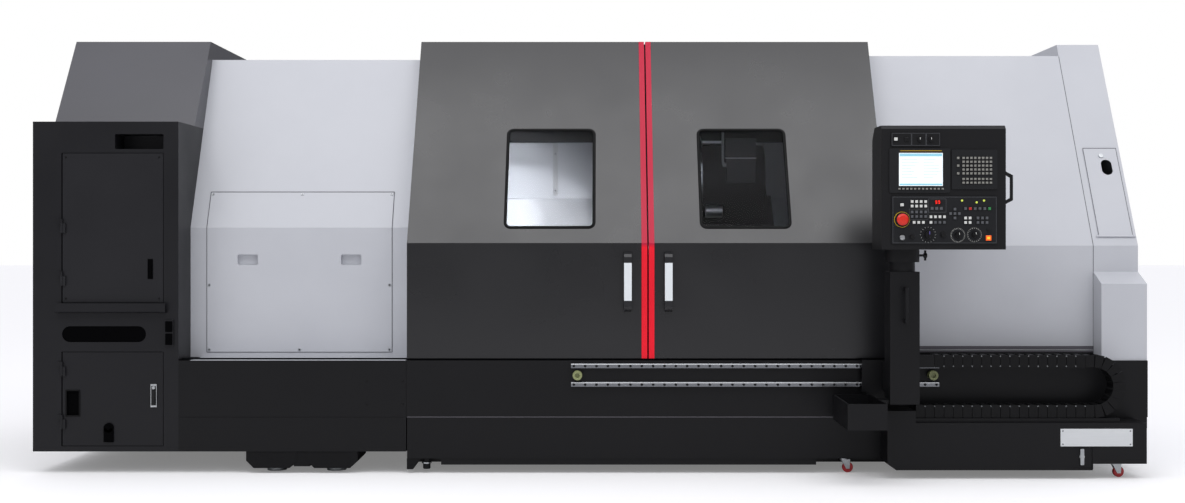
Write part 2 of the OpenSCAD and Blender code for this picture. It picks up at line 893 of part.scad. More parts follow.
module utility_cabinet() {
  color("#333336") union() {
    difference() {
      block(x_left, x_bay, fy, rear, skirt_bottom, cabinet_top);
      block(x_left + sheet, x_bay - sheet, fy + sheet, rear - sheet, skirt_bottom + sheet,
        cabinet_top - sheet);
      cab_hole(upper_door_low, upper_door_low + upper_door_h);
      cab_hole(lower_door_low, lower_door_low + lower_door_h);
      front_plate(pocket_x, pocket_z, pocket_w, pocket_h, 8, fy - over, fy + sheet + over);
      front_plate(slot_x, slot_z, slot_w, slot_h, slot_h / 2 - 0.1, fy - over, fy + sheet + over);
    }
    difference() {
      block(pocket_x - pocket_w / 2 - sheet, pocket_x + pocket_w / 2 + sheet, fy + sheet - over,
        fy + pocket_d + sheet, pocket_z - pocket_h / 2 - sheet, pocket_z + pocket_h / 2 + sheet);
      block(pocket_x - pocket_w / 2, pocket_x + pocket_w / 2, fy - over, fy + pocket_d,
        pocket_z - pocket_h / 2, pocket_z + pocket_h / 2);
    }
    block(slot_x - slot_w / 2 - 20, slot_x + slot_w / 2 + 20, fy + sheet - 0.5, fy + 3 * sheet,
      slot_z - slot_h / 2 - 5, slot_z + slot_h / 2 + 5);
    along_x([[fy + over, ledge_z], [fy - ledge_d, ledge_z + 8], [fy - ledge_d, ledge_z + ledge_h],
      [fy - ledge_d + sheet, ledge_z + ledge_h], [fy - ledge_d + sheet, ledge_z + 8 + sheet],
      [fy + over, ledge_z + sheet]], cab_x0 - 26, cab_x1 + 20);
    block(switch_x - 24, switch_x + 24, fy - 9, fy + over, switch_z - 69, switch_z + 69);
    for (low = [upper_door_low, lower_door_low], s = hinge_at) hinge_pin(low + s);
  }
}

module cab_door(low, h) {
  difference() {
    block(cab_x0 + cab_door_gap, cab_x1, fy, fy + cab_door_t, low, low + h);
    block(cab_x0 + cab_door_gap + 15, cab_x1 - 15, fy + sheet, fy + cab_door_t + over,
      low + 15, low + h - 15);
  }
}

// Hinge barrel on the door, round the cabinet's pin
module hinge_leaf(z) {
  difference() {
    union() {
      rod_z(cab_x0, hinge_y, z, hinge_r, hinge_l);
      block(cab_x0, cab_x0 + 3 * hinge_r, hinge_y - 2, fy + over, z, z + hinge_l);
    }
    rod_z(cab_x0, hinge_y, z - over, hinge_pin_r + gap, hinge_l + 2 * over);
  }
}

// Fittings on the cabinet doors
latch_x = x_left + 624;
latch_z = upper_door_low + 178;
latch_w = 26;
latch_h = 104;
lever_w = 12;
swing_x = x_left + 643;
swing_z = lower_door_low + 266;
swing_w = 30;
swing_h = 118;
pull_x = x_left + 213;
cup_z = lower_door_low + 226;
cup_w = 70;
cup_h = 134;
cup_d = 10;
cup_r = 6;
lock_x = x_left + 404;
lock_z = lower_door_low + 70;
lock_w = 50;
lock_h = 100;
lock_t = 9;

// Flush latch with the lever in its slot
module slot_latch() {
  plate = 3;
  front_plate(latch_x, latch_z, latch_w, latch_h, 4, fy - plate, fy + over);
  front_plate(latch_x, latch_z - 8, lever_w, latch_h * 0.55, 4, fy - 2 * plate, fy - plate + over);
}

// Swing latch: back plate, lever and the boss that it turns on
module swing_latch() {
  plate = 4;
  front_plate(swing_x, swing_z, swing_w, swing_h, 4, fy - plate, fy + over);
  front_plate(swing_x, swing_z - 10, swing_w / 2, swing_h * 0.62, 6, fy - 3 * plate,
    fy - plate + over);
  rod_y(swing_x, fy - 2 * plate, swing_z + swing_h / 2 - 17, 8, plate + over);
}

module door_lock() {
  front_plate(lock_x, lock_z - lock_w / 4, lock_w, lock_h - lock_w / 2, 2, fy - lock_t, fy + over);
  rod_y(lock_x, fy - lock_t, lock_z + lock_h / 2 - lock_w / 2, lock_w / 2, lock_t + over);
}

// Cup of the hand pull, grown by its wall and starting at depth y0
module pull_cup(wall, y0) {
  front_plate(pull_x, cup_z, cup_w + 2 * wall, cup_h + 2 * wall, cup_r + wall, y0,
    fy + cup_d + wall);
}

module upper_cabinet_door() {
  color("#38383b") union() {
    cab_door(upper_door_low, upper_door_h);
    slot_latch();
    for (s = hinge_at) hinge_leaf(upper_door_low + s);
  }
}

module lower_cabinet_door() {
  color("#38383b") union() {
    difference() {
      union() {
        cab_door(lower_door_low, lower_door_h);
        pull_cup(sheet, fy + over);
      }
      pull_cup(0, fy - over);
    }
    swing_latch();
    door_lock();
    for (s = hinge_at) hinge_leaf(lower_door_low + s);
  }
}

module cabinet_hood() {
  y0 = fy + hood_setback;
  color("#5d5d61")
    along_x([[y0, cabinet_top], [y0 + hood_lean, machine_top], [rear, machine_top],
      [rear, cabinet_top]], x_left, x_bay);
}

module hydraulic_unit() {
  x = (cab_x0 + cab_x1) / 2;
  floor_z = skirt_bottom + sheet;
  y = fy + 150;
  color("#6f7377") union() {
    block(x - 230, x + 230, y, y + 420, floor_z, floor_z + 230);
    rod_x(x - 210, y + 130, floor_z + 310, 85, 250);
    block(x - 180, x + 10, y + 60, y + 200, floor_z + 229, floor_z + 240);
    rod_x(x + 30, y + 130, floor_z + 310, 55, 110);
    rod_z(x + 150, y + 320, floor_z + 229, 60, 200);
  }
}

module headstock() {
  x0 = x_bay + 150;
  x1 = x_door0 - 60;
  y = spindle_y;
  color("#7d8286") difference() {
    union() {
      along_x([[y - 350, headstock_seat], [y - 350, spindle_z + 120], [y - 200, spindle_z + 320],
        [y + 200, spindle_z + 320], [y + 400, spindle_z + 120], [y + 400, headstock_seat]], x0, x1);
      rod_x(x1 - over, y, spindle_z, 2 * spindle_r - 40, 60 - sheet - head_gap + over);
    }
    rod_x(x0 - over, y, spindle_z, spindle_r + gap, headstock_bay_w);
  }
}

function wall_outline() = let (y0 = fy + tail_setback + 1, z0 = base_top + 1,
  yd = door_depth + liner_gap, top = work_roof - sheet, yb = liner_back + sheet) [
  [y0, z0], [y0, sill_top + 1], [door_y(0) + yd, sill_top + 1], [door_y(0) + yd, door_fold],
  [door_y(top) + yd, top], [yb, top], [yb, bed_line_z(yb, wall_drop)],
  [bed_front + wall_foot, bed_line_z(bed_front + wall_foot, wall_drop)],
  [bed_front + wall_foot, z0]
];

// Plate of the way covers at one level, level 0 lowest
module way_cover(xa, xb, level) {
  on_bed() translate([xa, saddle_low, -cover_drop + (level - 2) * cover_step])
    cube([xb - xa, cover_top - saddle_low, cover_t]);
}

module splash_guard() {
  y0 = fy + tail_setback + 1;
  color("#c9cbcc") union() {
    difference() {
      along_x(wall_outline(), x_wall0 - sheet, x_wall0);
      rod_x(x_wall0 - 2 * sheet, spindle_y, spindle_z, spindle_r + 15, 3 * sheet);
    }
    along_x(wall_outline(), x_wall1, x_wall1 + sheet);
    block(x_wall0 - over, x_wall1 + over, liner_back, liner_back + sheet,
      along_bed_z(cover_top, -cover_drop), work_roof - sheet);
    along_x([[y0, sill_top + 1], [y0 + sheet, sill_top + 1], [y0 + sheet, base_top],
      [fy + chute_end, chute_low], [fy + chute_end - sheet, chute_low],
      [y0, base_top - sheet]], x_wall0 - over, x_wall1 + over);
    way_cover(x_wall0 - over, x_wall0 + left_cover_l, 0);
    way_cover(saddle_x1 + 5, x_wall1 + over, 0);
  }
}

module saddle_covers() {
  color("#b4b7ba") {
    way_cover(saddle_x0 - left_cover_l, saddle_x0, 2);
    way_cover(saddle_x1, saddle_x1 + right_cover_l, 2);
  }
}

module middle_covers() {
  left = x_wall0 + left_cover_l - cover_lap;
  color("#a8abae") {
    way_cover(left, left + left_cover_l, 1);
    way_cover(saddle_x1 + 3, saddle_x1 + 3 + right_cover_l, 1);
  }
}

module door_shell(xa, xb, pane_x) {
  difference() {
    along_x(door_band(0, door_depth, door_bottom, machine_top), xa, xb);
    along_x(door_band(sheet, door_depth + over, door_bottom + door_rim, machine_top - door_rim),
      xa + door_rim, xb - door_rim);
    on_door(pane_x) translate([0, window_s, -4 * sheet]) linear_extrude(8 * sheet)
      rounded_rect(window_w, window_h, window_r);
  }
}

module pane(x) {
  on_door(x) translate([0, window_s, -skin - gap - pane_t]) linear_extrude(pane_t)
    rounded_rect(window_w + 2 * pane_lap, window_h + 2 * pane_lap, window_r);
}

module door_handle(x) {
  face = fy + door_setback;
  top = handle_z + 2 * grip_foot + grip_l;
  tip = face - grip_reach;
  inner = tip + grip_t;
  along_x([[face, handle_z], [tip + 12, handle_z + 14], [tip, handle_z + 30], [tip, top - 30],
    [tip + 12, top - 14], [face, top], [face, top - grip_foot], [inner, top - grip_foot],
    [inner, handle_z + grip_foot], [face, handle_z + grip_foot]],
    x - grip_w / 2, x + grip_w / 2);
}

module left_door() {
  color("#2e2e31") door_shell(x_door0, x_meet0, x_meet - window_x);
}

module right_door() {
  color("#2e2e31") door_shell(x_meet1, x_door1, x_meet + window_x);
}

module left_window() {
  color("#8fa0a5") pane(x_meet - window_x);
}

module right_window() {
  color("#8fa0a5") pane(x_meet + window_x);
}

module left_strip() {
  color("#d72337")
    along_x(door_band(-strip_t, 0, door_bottom, machine_top), x_meet0 - strip_w, x_meet0);
}

module right_strip() {
  color("#d72337")
    along_x(door_band(-strip_t, 0, door_bottom, machine_top), x_meet1, x_meet1 + strip_w);
}

module left_handle() {
  color("#e1e6ea") door_handle(x_meet0 - handle_inset);
}

module right_handle() {
  color("#e1e6ea") door_handle(x_meet1 + handle_inset);
}

module spindle() {
  x0 = x_bay + 60;
  color("#9da1a4") difference() {
    union() {
      rod_x(x0, spindle_y, spindle_z, spindle_r, nose_x - x0);
      rod_x(x0, spindle_y, spindle_z, spindle_r + 50, 80);
    }
    rod_x(x0 - over, spindle_y, spindle_z, bore_r, nose_x - x0 + 2 * over);
  }
}

module chuck() {
  bevel = 14;
  color("#8d9194") difference() {
    translate([nose_x, spindle_y, spindle_z]) rotate([90, 0, 90]) rotate_extrude()
      polygon([[bore_r, 0], [chuck_r - bevel, 0], [chuck_r, bevel], [chuck_r, chuck_l - bevel],
        [chuck_r - bevel, chuck_l], [bore_r, chuck_l]]);
    for (a = [0, 120, 240])
      translate([chuck_face - jaw_slot_d, spindle_y, spindle_z]) rotate([a, 0, 0])
        translate([0, -jaw_slot_w / 2, bore_r])
          cube([jaw_slot_d + over, jaw_slot_w, chuck_r]);
  }
}

// Chuck jaw at an angle round the spindle, with a stepped top
module jaw(angle) {
  w = jaw_slot_w - 2 * gap;
  top_w = jaw_slot_w + 26;
  color("#a7abad") translate([chuck_face, spindle_y, spindle_z]) rotate([angle, 0, 0]) union() {
    translate([-jaw_slot_d + gap, -w / 2, jaw_low]) cube([jaw_slot_d + gap, w, jaw_l]);
    translate([gap, -top_w / 2, jaw_low]) cube([jaw_h * 0.45, top_w, jaw_l]);
    translate([gap, -top_w / 2, jaw_low + jaw_l * 0.4]) cube([jaw_h, top_w, jaw_l * 0.6]);
  }
}

module jaw_1() {
  jaw(0);
}

module jaw_2() {
  jaw(120);
}

module jaw_3() {
  jaw(240);
}

module saddle() {
  bottom = -bed_drop + way_h + gap;
  color("#55585c") on_bed() translate([saddle_x0, saddle_low, bottom])
    cube([saddle_l, bed_high - saddle_low, -saddle_drop - bottom]);
}

// Cross slide with the turret's drive housing
module cross_slide() {
  low = -saddle_drop + gap;
  deck = -230;
  half = 190;
  x0 = saddle_x0 + 50;
  color("#4c4f53") on_bed() difference() {
    union() {
      translate([x0, cross_low, low]) cube([saddle_l - 100, bed_high - cross_low, deck - low]);
      translate([turret_x, turret_u - half, deck - over]) cube([turret_box_w, 2 * half, -deck]);
      translate([turret_x, turret_u, 0]) rotate([0, 90, 0]) cylinder(h = turret_box_w, r = half);
    }
    translate([turret_x - over, turret_u, 0]) rotate([0, 90, 0])
      cylinder(h = 80 + over, r = turret_shaft_r + gap);
  }
}

module turret_disc() {
  flat_r = turret_r * cos(180 / stations);
  color("#8b8f92") on_bed() translate([turret_x - gap - turret_t, turret_u, 0]) union() {
    rotate([0, 90, 0]) cylinder(h = turret_t, r = turret_r, $fn = stations);
    translate([turret_t - over, 0, 0]) rotate([0, 90, 0])
      cylinder(h = 70 + over, r = turret_shaft_r);
    for (i = [0 : stations - 1]) rotate([(i + 0.5) * 360 / stations, 0, 0]) {
      translate([15, -42, flat_r - over]) cube([turret_t - 30, 84, tool_h * 0.6 + over]);
      translate([25, -12, flat_r]) cube([25, 25, tool_h]);
    }
  }
}

module tailstock() {
  bottom = -bed_drop + way_h + gap;
  color("#5d6064") on_bed() difference() {
    union() {
      translate([tail_x0, tail_low, bottom]) cube([tail_l, tail_high - tail_low, 120]);
      along_x([[tail_low + 60, bottom + 119], [-barrel_r, 0], [barrel_r, 0],
        [tail_high, bottom + 119]], tail_x0 + 20, tail_x1 - 20);
      rod_x(tail_x0, 0, 0, barrel_r, tail_l);
    }
    rod_x(tail_x0 - over, 0, 0, quill_r + gap, tail_l - 30);
  }
}

// Quill with the live centre, along the spindle axis
module quill() {
  x0 = tail_x0 - quill_out;
  color("#a9adb0") translate([x0, spindle_y, spindle_z]) rotate([90, 0, 90]) rotate_extrude()
    polygon([[0, -centre_l], [quill_r * 0.6, -centre_l * 0.2], [quill_r * 0.6, 0], [quill_r, 0],
      [quill_r, tail_l + quill_out - 60], [0, tail_l + quill_out - 60]]);
}

// Bearing block that wraps a guide rail
module bearing_block(x, z) {
  y1 = fy - 5;
  difference() {
    block(x, x + block_l, fy - carriage_back, y1, z - block_w / 2, z + block_w / 2);
    along_x([[y1 + over, z - rail_w / 2 - gap], [fy - rail_t - gap, z - rail_w / 2 - gap],
      [fy - rail_t - gap, z + rail_w / 2 + gap], [y1 + over, z + rail_w / 2 + gap]],
      x - over, x + block_l + over);
  }
}

module d_handle(x, y, z0, z1, reach, t) {
  block(x - t, x + t, y - reach, y, z0, z0 + 2 * t);
  block(x - t, x + t, y - reach, y, z1 - 2 * t, z1);
  rod_z(x, y - reach, z0, t, z1 - z0);
}

// Slide plate, arm, column and swivel foot of the pendant
module pendant_column() {
  plate_t = 15;
  y_back = fy - column_back;
  y_front = y_back - column_d;
  x0 = column_x - column_w / 2;
  x1 = column_x + column_w / 2;
  pin_r = neck_r * 0.45;
  arm_in = 15;
  color("#242427") union() {
    for (x = [carriage_x0 + 4, carriage_x1 - block_l - 4], z = [rail_low, rail_low + rail_span])
      bearing_block(x, z);
    block(carriage_x0, carriage_x1, fy - carriage_back - plate_t, fy - carriage_back + over,
      rail_low - 35, rail_low + rail_span + 35);
    block(x0 + arm_in, x1 - arm_in, y_back - over, fy - carriage_back - plate_t + over,
      rail_low - 25, rail_low + rail_span + 25);
    difference() {
      block(x0, x1, y_front, y_back, column_low, column_high);
      block(x0 + 2 * sheet, x1 - 2 * sheet, y_front + 2 * sheet, y_back - 2 * sheet,
        column_low - over, column_high - 2 * sheet);
    }
    rod_z(column_x, swivel_y, column_high - over, neck_r, swivel_low - column_high + over);
    rod_z(column_x, swivel_y, swivel_low - over, pin_r, 50 + over);
    along_x([[chain_y, chain_high], [chain_y, chain_high + link_h],
      [chain_y + link_wall, chain_high + link_h], [chain_y + link_wall, chain_high + link_wall],
      [chain_y + link_w, chain_high + link_wall], [chain_y + link_w, chain_high]],
      x1 - arm_in - over, upper_start - link_gap);
    d_handle(column_x, y_front, 820, 998, 42, 9);
  }
}

module tool_tray() {
  x0 = tray_x1 - tray_w;
  y0 = fy - tray_reach;
  y1 = fy - carriage_back;
  wall = 2 * sheet;
  x_col = column_x - column_w / 2;
  color("#2a2a2d") union() {
    difference() {
      block(x0, tray_x1, y0, y1, tray_low, tray_low + tray_h);
      block(x0 + wall, tray_x1 - wall, y0 + wall, y1 - wall, tray_low + wall,
        tray_low + tray_h + over);
    }
    block(tray_x1 - over, x_col, fy - column_back - column_d + 20, fy - column_back - 20,
      column_low + 2, tray_low + tray_h);
  }
}

// Bent flat bar on the side of the pendant, by which it is pulled along and turned
module side_handle(x, y, z) {
  reach = 42;
  bar = 13;
  low = -75;
  high = 95;
  bend = 22;
  along_y([[x, z + low], [x + reach, z + low + bend], [x + reach, z + high - bend], [x, z + high],
    [x, z + high - bar - 4], [x + reach - bar, z + high - bend - bar],
    [x + reach - bar, z + low + bend + bar], [x, z + low + bar + 4]], y, y + bar);
}

module pendant_box() {
  top = pendant_low + pendant_h;
  back = pendant_y + pendant_d;
  cut = 18;
  pin_r = neck_r * 0.45 + gap;
  color("#232326") difference() {
    union() {
      along_x([[pendant_y, pendant_low], [pendant_y, top - cut], [pendant_y + cut, top],
        [back - 60, top], [back, top - 60], [back, pendant_low]],
        pendant_x, pendant_x + pendant_w);
      rod_z(column_x, swivel_y, swivel_low + gap, neck_r + 22, pendant_low - swivel_low);
      side_handle(pendant_x + pendant_w - over, pendant_y + 18, pendant_low + 300);
      face_panel(46, 294, 516, 586, 6, panel_t);
      for (x = [70, 124]) key(x, 552, 22, 22);
      for (x = [190, 246])
        rod_y(pendant_x + x, panel_y - 12, pendant_low + 550, 11, 12 + panel_t);
    }
    rod_z(column_x, swivel_y, swivel_low - over, pin_r, 52 + over);
    rod_x(column_x + neck_r, swivel_y, swivel_low + 34, 6 + gap, 30);
  }
}

// Panel that faces the operator, given from the pendant's left and lower edges
module face_panel(x0, x1, z0, z1, r, t) {
  front_plate(pendant_x + (x0 + x1) / 2, pendant_low + (z0 + z1) / 2, x1 - x0, z1 - z0, r,
    pendant_y - t, pendant_y);
}

module key(x, z, w, h) {
  translate([pendant_x + x - w / 2, panel_y - key_t, pendant_low + z - h / 2])
    cube([w, key_t + over, h]);
}

module key_grid(x, z, nx, nz, dx, dz, w, h) {
  for (i = [0 : nx - 1], j = [0 : nz - 1]) key(x + i * dx, z - j * dz, w, h);
}

module display_unit() {
  screen = [86, 306, 318, 484];
  color("#2c2d31") union() {
    difference() {
      face_panel(38, 342, 284, 506, 8, panel_t);
      block(pendant_x + screen[0], pendant_x + screen[1], panel_y - over, panel_y + panel_t / 2,
        pendant_low + screen[2], pendant_low + screen[3]);
    }
    key_grid(88, 304, 12, 1, 19.6, 1, 14, 10);
  }
}

module keypad_unit() {
  color("#3b3c42") union() {
    face_panel(350, 578, 302, 500, 8, panel_t);
    key_grid(408, 458, 8, 5, 19.5, 19.3, 15, 14);
    key_grid(408, 353, 8, 2, 19.5, 18.5, 15, 13);
    key_grid(381, 458, 1, 3, 1, 38.6, 15, 14);
  }
}

// Places on the operator panel, from the pendant's left and lower edges
estop_at = [101, 150];
mode_at = [232, 74];
feed_at = [380, 72];
spindle_dial_at = [463, 74];
collar_h = 6;

module panel_collar(at, r) {
  rod_y(pendant_x + at[0], panel_y - collar_h, pendant_low + at[1], r, collar_h + over);
}

module operator_panel() {
  color("#303136") difference() {
    union() {
      face_panel(50, 578, 28, 268, 8, panel_t);
      key_grid(151, 240, 4, 2, 22.5, 22.5, 17, 17);
      key_grid(151, 188, 4, 2, 22.5, 22.5, 17, 17);
      key_grid(161, 136, 3, 1, 23, 1, 17, 17);
      key_grid(245, 164, 4, 2, 22.5, 28, 17, 17);
      key_grid(343, 180, 3, 1, 22, 1, 17, 17);
      for (z = [202, 158]) key(365, z, 17, 17);
      key_grid(418, 205, 6, 1, 24, 1, 17, 17);
      key_grid(418, 158, 2, 2, 22.5, 22.5, 17, 17);
      key_grid(480, 158, 3, 2, 22.5, 22.5, 17, 17);
      key(101, 224, 22, 22);
      key(533, 58, 30, 30);
      key(535, 97, 17, 17);
      panel_collar(estop_at, estop_r + 8);
      panel_collar(mode_at, mode_r + 9);
      panel_collar(feed_at, dial_r + 12);
      panel_collar(spindle_dial_at, dial_r + 12);
      panel_collar([101, 60], 13);
      panel_collar([150, 62], 12);
      panel_collar([306, 73], 14);
    }
    rod_y(pendant_x + estop_at[0], panel_y - collar_h - over, pendant_low + estop_at[1],
      9 + gap, collar_h + panel_t);
    for (at = [mode_at, feed_at, spindle_dial_at])
      rod_y(pendant_x + at[0], panel_y - collar_h - over, pendant_low + at[1],
        4 + gap, collar_h + panel_t);
  }
}

// Mushroom button that presses in, clear of its collar by its stroke
estop_stroke = 6;
module estop_button() {
  y = panel_y - collar_h - estop_stroke - gap;
  x = pendant_x + estop_at[0];
  z = pendant_low + estop_at[1];
  color("#e6321e") union() {
    translate([x, y, z]) rotate([90, 0, 0]) rotate_extrude()
      polygon([[0, 0], [estop_r - 3, 0], [estop_r, 4], [estop_r, 9], [estop_r * 0.7, 17], [0, 19]]);
    rod_y(x, y - over, z, 9, collar_h + over);
  }
}

module dial(at, r) {
  y = panel_y - collar_h - gap;
  x = pendant_x + at[0];
  z = pendant_low + at[1];
  union() {
    rod_y(x, y - dial_h * 0.35, z, r, dial_h * 0.35);
    translate([x, y - dial_h, z]) rotate([-90, 0, 0]) cylinder(h = dial_h, r = r * 0.78);
    translate([x - r * 0.2, y - dial_h - 5, z - r * 0.75]) cube([r * 0.4, 6, r * 1.5]);
    rod_y(x, y - over, z, 4, collar_h + over);
  }
}

module mode_dial() {
  color("#1d1d20") dial(mode_at, mode_r);
}

module feed_dial() {
  color("#1d1d20") dial(feed_at, dial_r);
}

module spindle_dial() {
  color("#1d1d20") dial(spindle_dial_at, dial_r);
}

// Clamp knob in the side of the swivel head
module swivel_knob() {
  x0 = column_x + neck_r + 2;
  z = swivel_low + 34;
  color("#141416") union() {
    rod_x(x0, swivel_y, z, 6, 50);
    rod_x(x0 + 44, swivel_y, z, 12, 16);
    rod_z(x0 + 52, swivel_y, z - 26, 6, 52);
  }
}

// Swivel fork of a caster, with the axle that carries its wheel
module caster_fork(at) {
  top = caster_z - plate_t - gap;
  inner = wheel_w / 2 + 2;
  leg_t = 3;
  color("#b6b9bb") union() {
    rod_z(at[0], at[1], top - 7, 19, 7);
    block(at[0] - 19, at[0] + caster_trail + 12, at[1] - inner - leg_t, at[1] + inner + leg_t,
      top - 10, top - 6);
    for (y = [at[1] - inner - leg_t, at[1] + inner])
      along_y([[at[0] - 15, top - 7], [at[0] + caster_trail - 9, wheel_r - 8],
        [at[0] + caster_trail + 9, wheel_r - 8], [at[0] + caster_trail + 12, top - 7]],
        y, y + leg_t);
    rod_y(at[0] + caster_trail, at[1] - inner - leg_t - 2, wheel_r, axle_r,
      2 * (inner + leg_t + 2));
  }
}

module caster_wheel(at) {
  color("#c8343a") translate([at[0] + caster_trail, at[1], wheel_r]) rotate([90, 0, 0])
    rotate_extrude() polygon([[axle_r + gap, -wheel_w / 2], [wheel_r - 3, -wheel_w / 2],
      [wheel_r, -wheel_w / 2 + 4], [wheel_r, wheel_w / 2 - 4], [wheel_r - 3, wheel_w / 2],
      [axle_r + gap, wheel_w / 2]]);
}

module caster_fork_left() {
  caster_fork(caster_left);
}

module caster_wheel_left() {
  caster_wheel(caster_left);
}

module caster_fork_right() {
  caster_fork(caster_right);
}

module caster_wheel_right() {
  caster_wheel(caster_right);
}

bed_casting();
levelling_feet();
base_cover_left();
base_cover_centre();
chain_trough();
coolant_tank();
guide_rails();
rail_bumpers();
chain_lower();
headstock_cover();
access_panel();
tailstock_cover();
end_cover();
door_track();
rear_enclosure();
utility_cabinet();
cabinet_hood();
hydraulic_unit();
headstock();
splash_guard();
left_door();
left_window();
left_strip();
left_handle();
right_door();
right_window();
right_strip();
right_handle();
upper_cabinet_door();
lower_cabinet_door();
service_lid();
spindle();
chuck();
jaw_1();
jaw_2();
jaw_3();
saddle();
saddle_covers();
middle_covers();
cross_slide();
turret_disc();
tailstock();
quill();
pendant_column();
tool_tray();
chain_upper();
chain_bend();
pendant_box();
display_unit();
keypad_unit();
operator_panel();
estop_button();
mode_dial();
feed_dial();
spindle_dial();
swivel_knob();
caster_fork_left();
caster_wheel_left();
caster_fork_right();
caster_wheel_right();
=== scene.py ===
# %% [markdown]
# # A CNC turning lathe with a slant bed
# The solids of the machine come ready from its CAD source: covers, doors, bed, pendant, chain.
# This lesson gives them their finishes and adds the small pieces that a maker fits last:
# gaskets, screws, keys, latches, plates and the drag chain's links.
# Every length is in metres and in the same frame as the CAD, so a piece goes where the drawing says.

# %% Load the machine
import math

import bmesh
import bpy
from mathutils import Euler, Matrix, Vector


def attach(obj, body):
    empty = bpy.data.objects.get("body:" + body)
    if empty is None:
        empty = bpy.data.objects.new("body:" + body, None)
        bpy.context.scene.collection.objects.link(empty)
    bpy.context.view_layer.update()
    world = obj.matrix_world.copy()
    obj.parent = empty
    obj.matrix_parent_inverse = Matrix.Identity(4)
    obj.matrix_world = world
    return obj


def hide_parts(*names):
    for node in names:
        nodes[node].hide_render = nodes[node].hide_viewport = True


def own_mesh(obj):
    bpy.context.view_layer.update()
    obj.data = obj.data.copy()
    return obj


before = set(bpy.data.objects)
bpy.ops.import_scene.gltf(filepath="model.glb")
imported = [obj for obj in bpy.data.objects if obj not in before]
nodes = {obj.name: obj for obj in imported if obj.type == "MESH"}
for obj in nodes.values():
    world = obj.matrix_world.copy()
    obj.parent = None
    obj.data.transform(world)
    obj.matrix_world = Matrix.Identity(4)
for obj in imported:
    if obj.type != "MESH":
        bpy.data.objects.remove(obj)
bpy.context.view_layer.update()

# %% [markdown]
# ## The camera
# The photograph looks straight at the front from 7.4 m away, at a height of 1.24 m.
# A small shift keeps the uprights upright, where tilting the camera would make them lean.

# %% Camera in front of the doors
FRONT = -0.81


def new_object(name, data):
    made = bpy.data.objects.new(name, data)
    bpy.context.scene.collection.objects.link(made)
    return made


camera = new_object("front_camera", bpy.data.cameras.new("front_camera"))
camera.location = (0.062, FRONT - 7.4, 1.24)
camera.rotation_euler = (math.radians(90), 0, 0)
camera.data.sensor_width = 36
camera.data.lens = 42.34
camera.data.shift_x = -0.008
camera.data.shift_y = -0.0097
bpy.context.scene.camera = camera
print("camera at", tuple(round(v, 2) for v in camera.location))

# %% [markdown]
# ## Small helpers for node trees
# Finishes and Geometry Nodes are both trees of nodes, so one helper that adds a node,
# sets it and links it is enough for the whole file. A link comes from a socket, or from a node,
# which stands for its first output. Colours are written as sRGB hex values,
# as a paint chart gives them, and turned to the linear values that the renderer works with.

# %% Colour and node helpers
def linear(hex_value):
    channels = [int(hex_value[i : i + 2], 16) / 255 for i in (1, 3, 5)]
    return [c / 12.92 if c <= 0.04045 else ((c + 0.055) / 1.055) ** 2.4 for c in channels] + [1.0]


def set_values(node, values):
    for key, value in values.items():
        node.inputs[key].default_value = value


def add_node(tree, kind, settings=None, values=None, links=None):
    node = tree.nodes.new(kind)
    for key, value in (settings or {}).items():
        setattr(node, key, value)
    set_values(node, values or {})
    for key, source in (links or {}).items():
        tree.links.new(getattr(source, "outputs", [source])[0], node.inputs[key])
    return node


print("mid grey is", [round(v, 3) for v in linear("#808080")])

# %% [markdown]
# ## Light and floor
# A machine hall lights a lathe from long lamps high in front of it. The leaning door tops
# mirror those lamps and look paler than the upright sheets below, though the paint is the same.
# So the sky is brighter above than at eye level, and one wide lamp hangs high in front.

# %% World, lamps and floor
world = bpy.data.worlds.new("hall")
world.use_nodes = True
bpy.context.scene.world = world
sky = world.node_tree
sky.nodes.clear()
direction = add_node(sky, "ShaderNodeTexCoord")
split = add_node(sky, "ShaderNodeSeparateXYZ", links={0: direction.outputs["Generated"]})
height = split.outputs["Z"]
lighting = add_node(sky, "ShaderNodeMapRange", values={1: 0.05, 2: 0.85, 3: 0.52, 4: 1.0}, links={0: height})
mirrored = add_node(sky, "ShaderNodeMapRange", values={1: 0.05, 2: 0.95, 3: 0.12, 4: 1.55}, links={0: height})
path = add_node(sky, "ShaderNodeLightPath")
seen = add_node(sky, "ShaderNodeMath", {"operation": "MAXIMUM"},
                links={0: path.outputs["Is Camera Ray"], 1: path.outputs["Is Transmission Ray"]})
around = add_node(sky, "ShaderNodeMix", links={0: path.outputs["Is Glossy Ray"], 2: lighting, 3: mirrored})
level = add_node(sky, "ShaderNodeMix", values={3: 1.0}, links={0: seen, 2: around})
hue = add_node(sky, "ShaderNodeMix", {"data_type": "RGBA"}, {6: linear("#F7F7FC"), 7: linear("#FFFFFF")}, {0: seen})
background = add_node(sky, "ShaderNodeBackground", links={"Color": hue.outputs[2], "Strength": level})
add_node(sky, "ShaderNodeOutputWorld", links={0: background})

bpy.context.scene.view_settings.view_transform = "Standard"


def hang_lamp(name, place, aim, width, depth, watts, spread=180):
    lamp = bpy.data.lights.new(name, "AREA")
    lamp.shape = "RECTANGLE"
    lamp.size, lamp.size_y, lamp.energy = width, depth, watts
    lamp.spread = math.radians(spread)
    hung = new_object(name, lamp)
    hung.location = place
    hung.rotation_euler = (Vector(aim) - Vector(place)).to_track_quat("-Z", "Y").to_euler()


hang_lamp("hall_lamp", (0.0, -3.9, 6.4), (0, -0.6, 1.75), 10, 2.6, 205)
hang_lamp("work_lamp", (-0.66, 0.1, 2.2), (-0.6, 0.74, 1.36), 0.5, 0.1, 3.4, spread=75)
hang_lamp("low_work_lamp", (-0.74, 0.16, 1.98), (-0.52, 0.76, 1.36), 0.4, 0.06, 14, spread=50)

